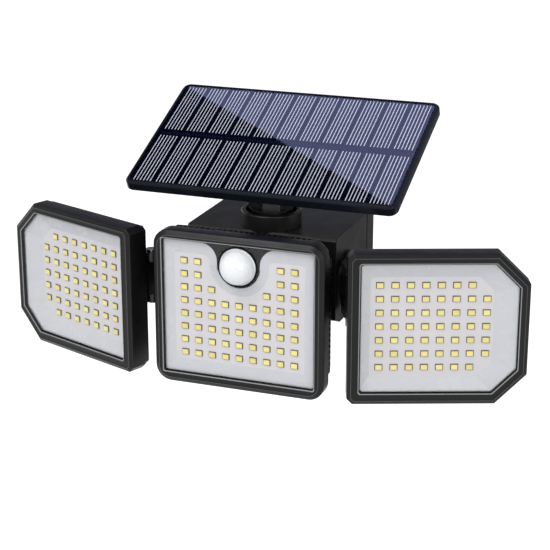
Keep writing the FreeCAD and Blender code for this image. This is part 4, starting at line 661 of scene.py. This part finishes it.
# %% Panel rim
RIM_CUT, RIM_WALL, RIM_BOTTOM, RIM_INNER = 1.2, 1.65, 8.1, 12.9  # mm
RIM_SECTION = np.array([(RIM_CUT, PANEL_TOP, 0.3), (RIM_WIDTH, PANEL_TOP, 0.12),
                        (RIM_WIDTH, RIM_INNER, 0.05), (RIM_WALL, RIM_INNER, 0.05),
                        (RIM_WALL, RIM_BOTTOM, 0.1), (RIM_CUT, RIM_BOTTOM, 0.2),
                        (0.0, RIM_BOTTOM + RIM_CUT, 0.4), (0.0, PANEL_TOP - RIM_CUT, 0.4)])
profile = rounded_polygon(RIM_SECTION[:, :2], RIM_SECTION[:, 2], SECTION_STEPS)
rows = [np.column_stack([panel_outline(inset), np.full(4 * CORNER_STEPS, height)])
        for inset, height in profile]
points = np.array(rows).reshape(-1, 3)
# Roundings of 0.3 mm and more are marked: a smoother finish and a painted reflection, the frame's
# lighter blue-grey edge tone.
polish_and_highlight = np.repeat(np.repeat(RIM_SECTION[:, 2] >= 0.3, SECTION_STEPS), 4 * CORNER_STEPS)
rim = new_piece("panel_rim_moulding", to_panel(points),
                closed_faces(len(rows), 4 * CORNER_STEPS, True), [frame_abs], polish_and_highlight=polish_and_highlight)
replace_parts(crisp(rim, 50), "panel_frame")
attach(rim, "panel")
print(rim.name, len(rim.data.polygons), "faces")

# %% [markdown]
# ## Silver lines on the solar cells
#
# A silicon cell collects its current with silver fingers, screen printed as a paste and
# fired. Here six fingers cross each cell, eleven cells to a row and two rows. They could be
# painted as a stripe pattern, but thin raised boxes keep a crisp edge at any distance. One
# unit box is copied to all places at once by adding the array of corners to the array of
# places.

# %% Fingers
CELL_COLUMNS, FINGERS, CELL_MARGIN = 11, 6, 0.6
CELL_PITCH = (2 * PANEL_HALF[0] - 2 * RIM_WIDTH - 2 * CELL_MARGIN) / CELL_COLUMNS  # mm
FINGER_PITCH, FINGER_WIDTH, FINGER_HEIGHT = 2.03, 0.5, 0.03
ROW_ENDS = ((-45.3, -3.1), (3.1, 45.3))  # of the fingers, from the panel's middle line
BOX_CORNERS = np.array([(x, y, z) for z in (0, 1) for y in (0, 1) for x in (0, 1)], float)
BOX_FACES = np.array([(0, 2, 3, 1), (4, 5, 7, 6), (0, 1, 5, 4), (1, 3, 7, 5), (3, 2, 6, 7),
                      (2, 0, 4, 6)])


def boxes(low, high):
    """Boxes between arrays of low and high corners: low + (high - low) * unit corner."""
    low, high = np.asarray(low, float)[:, None], np.asarray(high, float)[:, None]
    points = low + (high - low) * BOX_CORNERS[None]
    faces = BOX_FACES[None] + 8 * np.arange(len(low))[:, None, None]
    return points.reshape(-1, 3), faces.reshape(-1, 4)


cell_middle = (np.arange(CELL_COLUMNS) - (CELL_COLUMNS - 1) / 2) * CELL_PITCH
finger_from_middle = (np.arange(FINGERS) - (FINGERS - 1) / 2) * FINGER_PITCH
finger_x = (cell_middle[:, None] + finger_from_middle).ravel()
ends = np.repeat(np.array(ROW_ENDS), len(finger_x), axis=0) + PANEL_SHIFT
finger_x = np.tile(finger_x, len(ROW_ENDS))
low = np.column_stack([finger_x - FINGER_WIDTH / 2, ends[:, 0],
                       np.full(len(finger_x), CELLS_TOP)])
high = np.column_stack([finger_x + FINGER_WIDTH / 2, ends[:, 1],
                        np.full(len(finger_x), CELLS_TOP + FINGER_HEIGHT)])
points, faces = boxes(low, high)
fingers = new_piece("silver_fingers", to_panel(points), faces, [silver_paste], smooth=False)
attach(fingers, "panel")
print(fingers.name, len(finger_x), "lines")

# %% [markdown]
# ## The cells themselves
#
# Silicon is nearly black. Its anti-reflective coating, a tenth of a thousandth of a
# millimetre of nitride, turns what little comes back to blue, and the crystal's grain makes
# that blue drift. A pattern of polygons some 9 mm across stands for the grains. The gaps
# between the cells and the wide band across the middle show the dark blue board.

# %% Silicon and dark board
silicon, tree = blank_material("coated_silicon_cell")
place = add(tree, "TexCoord").outputs["Object"]
grains = add(tree, "TexVoronoi", {"Scale": per_mm(9.0)}, {"Vector": place})
drift = add(tree, "TexNoise", {"Scale": per_mm(40.0)}, {"Vector": place})
both = add(tree, "Math", {1: 0.25}, {0: grains.outputs["Distance"], 2: drift},
           operation="MULTIPLY_ADD")
blue = add(tree, "Mix", {6: srgb("#010105"), 7: srgb("#04050f")}, {0: both}, data_type="RGBA")
skin = add(tree, "BsdfPrincipled", {"Roughness": 0.25, "IOR": 1.5, "Specular IOR Level": 0.05},
           {"Base Color": blue.outputs[2]})
add(tree, "OutputMaterial", links={"Surface": skin})
dark_board = moulded_plastic("dark_blue_circuit_board", "#06082a", "#03041c", 0.4, grain=1.2,
                             relief=0.01, specular=0.08)
print("cells:", silicon.name, dark_board.name)

# %% [markdown]
# ## LED packages
#
# Each LED is a tiny plastic dish with a domed drop of silicone in it, which holds the yellow
# phosphor. Seen from the front: a dark skirt round the foot, solder with a painted contact
# shadow, a narrow pale rim, and a yellow middle. There are 167 of them, so each has only 120
# faces: a grid whose rows are nested rounded rectangles from the skirt to the drop's top,
# shared by all. An attribute gives each drop its own brightness, as phosphor batches differ.

# %% Phosphor and dish
phosphor, tree = blank_material("yellow_phosphor_silicone")
place = add(tree, "TexCoord").outputs["Object"]
batch = add(tree, "Attribute", attribute_name="batch").outputs["Fac"]
yellow = add(tree, "Mix", {6: srgb("#ecdf8c"), 7: srgb("#fff39c")}, {0: batch},
             data_type="RGBA")
powder = add(tree, "TexNoise", {"Scale": per_mm(0.5)}, {"Vector": place})
grainy = add(tree, "Mix", {0: 0.12}, {6: yellow.outputs[2], 7: powder.outputs["Color"]},
             data_type="RGBA", blend_type="MULTIPLY")
# A painted glow, the same under any lamp: it stands in for the extra light the phosphor gives back
# as it turns the blue part of daylight to yellow.
skin = add(tree, "BsdfPrincipled", {"Roughness": 0.25, "IOR": 1.41, "Subsurface Weight": 0.15,
                                    "Subsurface Scale": 0.5 * MM,
                                    "Emission Color": srgb("#f6e45e"),
                                    "Emission Strength": 0.16},
           {"Base Color": grainy.outputs[2]})
add(tree, "OutputMaterial", links={"Surface": skin})
dish_plastic = moulded_plastic("led_dish_polyphthalamide", "#ddd3a6", "#cbc194", 0.4, grain=0.8,
                               relief=0.006)
# The dark skirt is solder with a painted contact shadow round each LED's foot.
solder_and_shadow_skirt = moulded_plastic("solder_with_painted_shadow", "#64544b", "#4b3f39", 0.55, grain=0.8,
                               relief=0.02, specular=0.3)
print("LED finishes:", phosphor.name, dish_plastic.name, solder_and_shadow_skirt.name)

# %% One LED
LED_RINGS = [(2.18, 1.83, 0.70, 0.25), (2.16, 1.81, 0.62, 0.25), (1.84, 1.49, 0.52, 0.15),
             (1.80, 1.45, 0.45, 0.15), (1.78, 1.43, 0.02, 0.15), (1.74, 1.39, 0.0, 0.15),
             (1.66, 1.31, 0.0, 0.30), (1.56, 1.21, 0.04, 0.40), (1.10, 0.80, 0.0, 0.40),
             (0.50, 0.35, -0.03, 0.20)]  # half sizes, depth, corner radius
SKIRT_ROWS, DISH_ROWS = 4, 6  # rows of faces: solder with a painted shadow up to the first, plastic to the second
LED_CORNER_STEPS = 3


def led_surface(places):
    """All LEDs of a head: one grid of nested rings, added to every place (x, z) at once."""
    rings = []
    for w, h, depth, corner in LED_RINGS:
        flat = rounded_polygon([(-w, -h), (w, -h), (w, h), (-w, h)], corner, LED_CORNER_STEPS)
        rings.append(np.column_stack([flat[:, 0], np.full(len(flat), depth), flat[:, 1]]))
    columns = 4 * LED_CORNER_STEPS
    one = np.array(rings + [np.repeat(rings[-1].mean(0, keepdims=True), columns, axis=0)])
    faces = closed_faces(len(one), columns, False)
    first = np.column_stack([places[:, 0], np.zeros(len(places)), places[:, 1]])
    points = first[:, None] + one.reshape(1, -1, 3)
    count = one.shape[0] * columns
    every = faces[None] + count * np.arange(len(places))[:, None, None]
    row = np.repeat(np.arange(len(one) - 1), columns)
    kind = np.where(row < SKIRT_ROWS, 1, np.where(row < DISH_ROWS, 0, 2))
    return points.reshape(-1, 3), every.reshape(-1, 4), np.tile(kind, len(places)), count


print("faces of one LED:", len(led_surface(np.zeros((1, 2)))[1]))

# %% The three grids of LEDs
CENTRE_ROWS = (4, 4, 6, 9, 9, 9, 9, 9)  # LEDs per row from the top, half at each side
CENTRE_PITCH, CENTRE_SHIFT = (8.0, 7.6), (0.0, 0.5)  # mm, between LEDs; of the grid's middle
SIDE_PITCH, SIDE_SHIFT = (8.11, 7.71), (-2.6, 0.8)
centre_grid = [(c - 4, 3.5 - r) for r, n in enumerate(CENTRE_ROWS) for c in range(9)
               if n == 9 or min(c, 8 - c) < n / 2]
side_grid = [(c - 3.5, 3 - r) for r in range(7) for c in range(8)
             if not (c == 7 and r in (0, 6))]
PLACES = {"centre": np.array(centre_grid) * CENTRE_PITCH + CENTRE_SHIFT,
          "right": np.array(side_grid) * SIDE_PITCH + SIDE_SHIFT}
PLACES["left"] = PLACES["right"]  # mirrored with the head
print("LEDs:", {side: len(spots) for side, spots in PLACES.items()})

# %% LEDs of the three heads
random = np.random.default_rng(7)
for side, _, place_head in HEADS:
    spots = PLACES[side]
    points, faces, kinds, count = led_surface(spots)
    leds = new_piece(side + "_led_packages", place_head(points), faces,
                     [dish_plastic, solder_and_shadow_skirt, phosphor], slots=kinds)
    layer = leds.data.attributes.new("batch", "FLOAT", "POINT")
    layer.data.foreach_set("value", np.repeat(random.random(len(spots)), count)
                           .astype(np.float32))
    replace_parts(crisp(leds, 40), side + "_leds")
    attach(leds, side + "_head")
    print(leds.name, len(spots), "LEDs")

# %% [markdown]
# ## The sensor's dome
#
# A turned shape: a profile of radius against depth, carried round an axis. The dome is a half
# sphere with a thin flange and a fine groove between them. A ready-made sphere would have to be
# cut and joined to them; one profile holds them all. Its outside is smooth; the lens
# segments are moulded on the inside and only glimmer through, so they are a pattern of rings
# and spokes in the material, drawn in the dome's own polar coordinates.

# %% Turned pieces
def turned(profile, steps):
    """A grid round the Y axis: each (radius, depth) of the profile at every angle."""
    profile = np.asarray(profile, float)
    angle = np.arange(steps) * 2 * np.pi / steps
    r, y = profile[:, 0][:, None], np.broadcast_to(profile[:, 1][:, None],
                                                   (len(profile), steps))
    points = np.stack([r * np.cos(angle), y, r * np.sin(angle)], axis=-1)
    return points.reshape(-1, 3), closed_faces(len(profile), steps, False)


print("a profile of 3 points at 8 angles:", len(turned([(1, 0), (2, 1), (3, 1)], 8)[1]), "faces")

# %% Dome
DOME_RADIUS, DOME_WALL, DOME_DEPTH, SENSOR_UP = 9.6, 0.9, -1.6, 27.2  # mm
FLANGE_RADIUS, INNER_RADIUS = 10.4, DOME_RADIUS - DOME_WALL
quarter = np.linspace(0, np.pi / 2, 25)
outside = np.column_stack([DOME_RADIUS * np.sin(quarter),
                           DOME_DEPTH - DOME_RADIUS * np.cos(quarter)])
inside = np.column_stack([INNER_RADIUS * np.sin(quarter[::-1]),
                          DOME_DEPTH - INNER_RADIUS * np.cos(quarter[::-1])])
FLANGE = [(DOME_RADIUS, -1.05), (9.85, -1.0), (9.87, -1.27), (9.95, -1.34), (10.3, -1.34),
          (FLANGE_RADIUS, -1.25), (FLANGE_RADIUS, -0.62), (DOME_RADIUS, -0.6),
          (DOME_RADIUS, 0.7), (INNER_RADIUS, 0.7)]
points, faces = turned(np.vstack([outside, FLANGE, inside]), 72)
dome = new_piece("sensor_dome_lens", to_centre(points + (0, 0, SENSOR_UP)), faces, [])
print(dome.name, len(dome.data.polygons), "faces")

# %% Polyethylene
dome_pe, tree = blank_material("milky_polyethylene")
place = add(tree, "TexCoord").outputs["Object"]
middle = to_centre(np.array([[0, DOME_DEPTH, SENSOR_UP]]))[0] * MM
centred = add(tree, "Mapping", {"Location": tuple(-middle)}, {"Vector": place})
axes = add(tree, "SeparateXYZ", links={"Vector": centred}).outputs
SPOKES, RING_STEP = 8.0, 2.4 * MM
round_angle = add(tree, "Math", links={0: axes["Z"], 1: axes["X"]}, operation="ARCTAN2")
spokes = add(tree, "Math", {1: SPOKES}, {0: round_angle}, operation="MULTIPLY")
spoke_wave = add(tree, "Math", links={0: spokes}, operation="SINE")
rings = add(tree, "Math", {1: 2 * math.pi / RING_STEP}, {0: axes["Y"]}, operation="MULTIPLY")
ring_wave = add(tree, "Math", links={0: rings}, operation="SINE")
segments = add(tree, "Math", links={0: spoke_wave, 1: ring_wave}, operation="MULTIPLY")
faint = add(tree, "MapRange", {1: -1.0, 2: 1.0, 3: 0.0, 4: 1.0}, {0: segments})
milk = add(tree, "Mix", {6: srgb("#f0f3f6"), 7: srgb("#f8fafc")}, {0: faint}, data_type="RGBA")
bump = add(tree, "Bump", {"Strength": 0.25, "Distance": 0.02 * MM}, {"Height": faint})
skin = add(tree, "BsdfPrincipled", {"Roughness": 0.12, "IOR": 1.54, "Subsurface Weight": 0.05,
                                    "Subsurface Scale": 1.5 * MM},
           {"Base Color": milk.outputs[2], "Normal": bump})
add(tree, "OutputMaterial", links={"Surface": skin})
dome.data.materials.append(dome_pe)
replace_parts(crisp(dome, 50), "sensor_dome")
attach(dome, "centre_head")
print(dome.name, "takes", dome_pe.name)

# %% [markdown]
# ## Screws with a cross recess
#
# The screws of the heads, the rear cover and the hinge lug are turned shapes too, from the
# middle of the head out to its rim, under the head, along the shank and to the tip. The cross
# recess is pressed into the head: where a point of the head's top lies within the cross, that
# is near one of two crossing lines, it sinks. A Boolean cut would leave long thin faces round
# it. The rings of the grid are close together there, so the recess gets clean walls.

# %% One screw
def cross_screw(radius, length, head_radius, head_height, steps=48):
    """A screw whose head sits on depth 0 and points to -Y, its tip at +length, with a cross.

    Depth of the recess: full where the smaller of |x| and |z| is under the arm's half width
    and the larger under the arm's reach, easing to nothing outside.
    """
    arm, reach, sink = 0.17 * head_radius, 0.62 * head_radius, 0.6 * head_height
    top = [(head_radius * r, -head_height) for r in
           (0.0, 0.1, 0.15, 0.19, 0.24, 0.3, 0.4, 0.5, 0.58, 0.64, 0.7, 0.84)]
    edge = [(head_radius * 0.95, -head_height * 0.93), (head_radius, -head_height * 0.75),
            (head_radius, 0.0), (radius, 0.0), (radius, length - radius * 0.5),
            (radius * 0.6, length), (0.0, length)]
    points, faces = turned(top + edge, steps)
    x, z = np.abs(points[:, 0]), np.abs(points[:, 2])
    across, along = np.minimum(x, z), np.maximum(x, z)
    on_top = np.arange(len(points)) < len(top) * steps
    deep = (np.clip((arm * 1.25 - across) / (arm * 0.4), 0, 1)
            * np.clip((reach * 1.08 - along) / (reach * 0.12), 0, 1) * on_top)
    points[:, 1] += sink * deep
    return points, faces


print("faces of one screw:", len(cross_screw(1.25, 6.0, 2.3, 1.6)[1]))

# %% Copies of a screw, and where they sit
def screws_at(name, places, direction, sizes, body, replaced, place=lambda p: p):
    """Copies of one screw at several places (x, y, z), their tips along direction.

    sizes holds the shank's radius and length and the head's radius and height, in mm.
    """
    points, faces = cross_screw(*sizes)
    along = Vector(direction)
    turn = np.array(Vector((0, 1, 0)).rotation_difference(along).to_matrix())
    points = points @ turn.T
    places = np.asarray(places, float)
    every = (places[:, None] + points[None]).reshape(-1, 3)
    all_faces = (faces[None] + len(points) * np.arange(len(places))[:, None, None]).reshape(-1, 4)
    piece = new_piece(name, place(every), all_faces, [zinc_steel])
    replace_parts(crisp(piece, 35), replaced)
    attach(piece, body)
    print(piece.name, len(places), "screws")


SEAL_BACK = 3.3  # mm, depth in a lamp head at which its screws end, but for a small gap
TIP_GAP = 0.3
SCREW_INSET = 6.6  # from a lamp head's outline
for side, head, place_head in HEADS:
    seat = head["seat"]
    x, z = head["half"][0] - SCREW_INSET, head["half"][1] - SCREW_INSET
    far_x = x - max(head["cut"] - SCREW_INSET * CUT_SHRINK, 0)
    spots = [(-x, seat, -z), (far_x, seat, -z), (far_x, seat, z), (-x, seat, z)]
    screws_at(side + "_cross_screws", spots, (0, -1, 0),
              (1.25, seat - SEAL_BACK - TIP_GAP, 2.3, 1.6), side + "_head", side + "_screws",
              place_head)
COVER_HALF, COVER_SCREW_INSET, COVER_SEAT = (44.2, 25.2), 5.6, -26.2
cover_x, cover_z = COVER_HALF[0] - COVER_SCREW_INSET, COVER_HALF[1] - COVER_SCREW_INSET
screws_at("rear_cover_cross_screws", [(x, COVER_SEAT, z) for x in (-cover_x, cover_x)
                                      for z in (-cover_z, cover_z)], (0, -1, 0),
          (1.5, 22.0, 2.8, 2.0), "wall_unit", "rear_cover_screws")
LUG_PLATE, LUG_SIDE, LUG_ROWS = 2.5, 10.5, (11.5, 27.0)  # mm: thickness, places of its screws
lug_spots = [(x, y, PANEL_UNDERSIDE - LUG_PLATE) for x in (-LUG_SIDE, LUG_SIDE)
             for y in LUG_ROWS]
screws_at("panel_lug_cross_screws", lug_spots, (0, 0, 1), (1.25, 6.0, 2.4, 1.4), "panel",
          "panel_lug_screws", to_panel)

# %% [markdown]
# ## Easing the edges of the solids
#
# A moulded box never has knife edges, and on black plastic the rounded edge is what one sees.
# The CAD solids of the housing, arms and hinge parts have sharp edges. Their meshes stay as
# they are. A copy of each has its doubled corners merged and its flat faces joined, and a
# Bevel modifier rounds the edges that are sharper than 30 degrees. The copy then stands for
# the solid.

# %% Easing a copy
def eased(name, body, material, width):
    """A copy of a solid with edges rounded by a width in mm."""
    mesh = node[name].data.copy()
    mesh.name = name + "_eased"
    work = bmesh.new()
    work.from_mesh(mesh)
    bmesh.ops.remove_doubles(work, verts=work.verts, dist=0.002 * MM)
    bmesh.ops.dissolve_limit(work, angle_limit=math.radians(0.5), verts=work.verts,
                             edges=work.edges)
    work.to_mesh(mesh)
    work.free()
    mesh.materials.clear()
    mesh.materials.append(material)
    if "custom_normal" in mesh.attributes:
        mesh.attributes.remove(mesh.attributes["custom_normal"])
    piece = bpy.data.objects.new(name + "_eased", mesh)
    bpy.context.scene.collection.objects.link(piece)
    bevel = piece.modifiers.new("rounded edges", "BEVEL")
    bevel.width = width * MM
    bevel.segments = 3
    bevel.limit_method = "ANGLE"
    bevel.angle_limit = math.radians(30)
    mesh.polygons.foreach_set("use_smooth", np.ones(len(mesh.polygons), bool))
    mesh.set_sharp_from_angle(angle=math.radians(24))
    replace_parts(piece, name)
    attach(piece, body)
    print(piece.name, len(mesh.polygons), "faces before rounding")

# %% The pieces that are eased
EASED = [("main_housing", "wall_unit", black_abs, "black_abs", 0.35),
         ("rear_cover", "wall_unit", black_abs, "black_abs", 0.35),
         ("wall_bracket", "wall_unit", black_abs, "black_abs", 0.35),
         ("panel_collar", "wall_unit", post_abs, "black_abs", 0.3),
         ("front_clevis", "wall_unit", black_abs, "black_abs", 0.3),
         ("panel_stem", "panel_post", post_abs, "black_abs", 0.3),
         ("panel_lug", "panel", post_abs, "black_abs", 0.3),
         ("panel_back", "panel", frame_abs, "black_abs", 0.3),
         ("right_arm", "right_arm", arm_abs_painted_lighter, "black_abs", 0.4),
         ("left_arm", "left_arm", arm_abs_painted_lighter, "black_abs", 0.4),
         ("right_housing", "right_head", black_abs, "lamp_abs", 0.3),
         ("left_housing", "left_head", black_abs, "lamp_abs", 0.3)]
for name, body, material, slot, width in EASED:
    eased(name, body, material, width)
print(len(EASED), "solids stand as eased copies")

# %% [markdown]
# ## Finishes of the other solids
#
# The solids that keep their own shape get their finish from one table of names and
# materials. The importer left them one plain material each, which is exchanged.

# %% Finishes by name
button_rubber = moulded_plastic("soft_button_elastomer", "#2a2a2a", "#202020", 0.6, grain=0.4,
                                relief=0.02, specular=0.4)
surround_abs = moulded_plastic("satin_black_surround", "#0e0e0e", "#090909", 0.4, specular=0.12)
FINISH = {"centre_housing": black_abs, "sensor_surround": surround_abs,
          "sensor_element": nickel_can, "cell_board": dark_board, "solar_cells": silicon,
          "panel_sheet": pet_sheet, "battery_holder": tray_plastic, "battery_cells": pvc_sleeve,
          "control_board": green_mask, "housing_gasket": rubber, "mode_button": button_rubber,
          "stem_ring": zinc_steel, "panel_tilt_pin": zinc_steel, "centre_tilt_pin": zinc_steel,
          "bracket_screws": zinc_steel}
for side, _, _ in HEADS:
    FINISH.update({side + "_lens": acrylic, side + "_reflector": white_pc,
                   side + "_board": white_mask, side + "_seal": rubber})
for side in ("right", "left"):
    FINISH.update({side + "_axle": zinc_steel, side + "_axle_nut": zinc_steel,
                   side + "_swivel_pin": zinc_steel})
for name, material in FINISH.items():
    mesh = node[name].data
    mesh.materials.clear()
    mesh.materials.append(material)
unfinished = [name for name, obj in node.items() if name not in FINISH and not obj.hide_render]
print(len(FINISH), "solids finished, left over:", unfinished)

# %% [markdown]
# ## Close
#
# The view transform is Standard, so a colour shows as it was written.

# %% Finish
bpy.context.scene.view_settings.view_transform = "Standard"
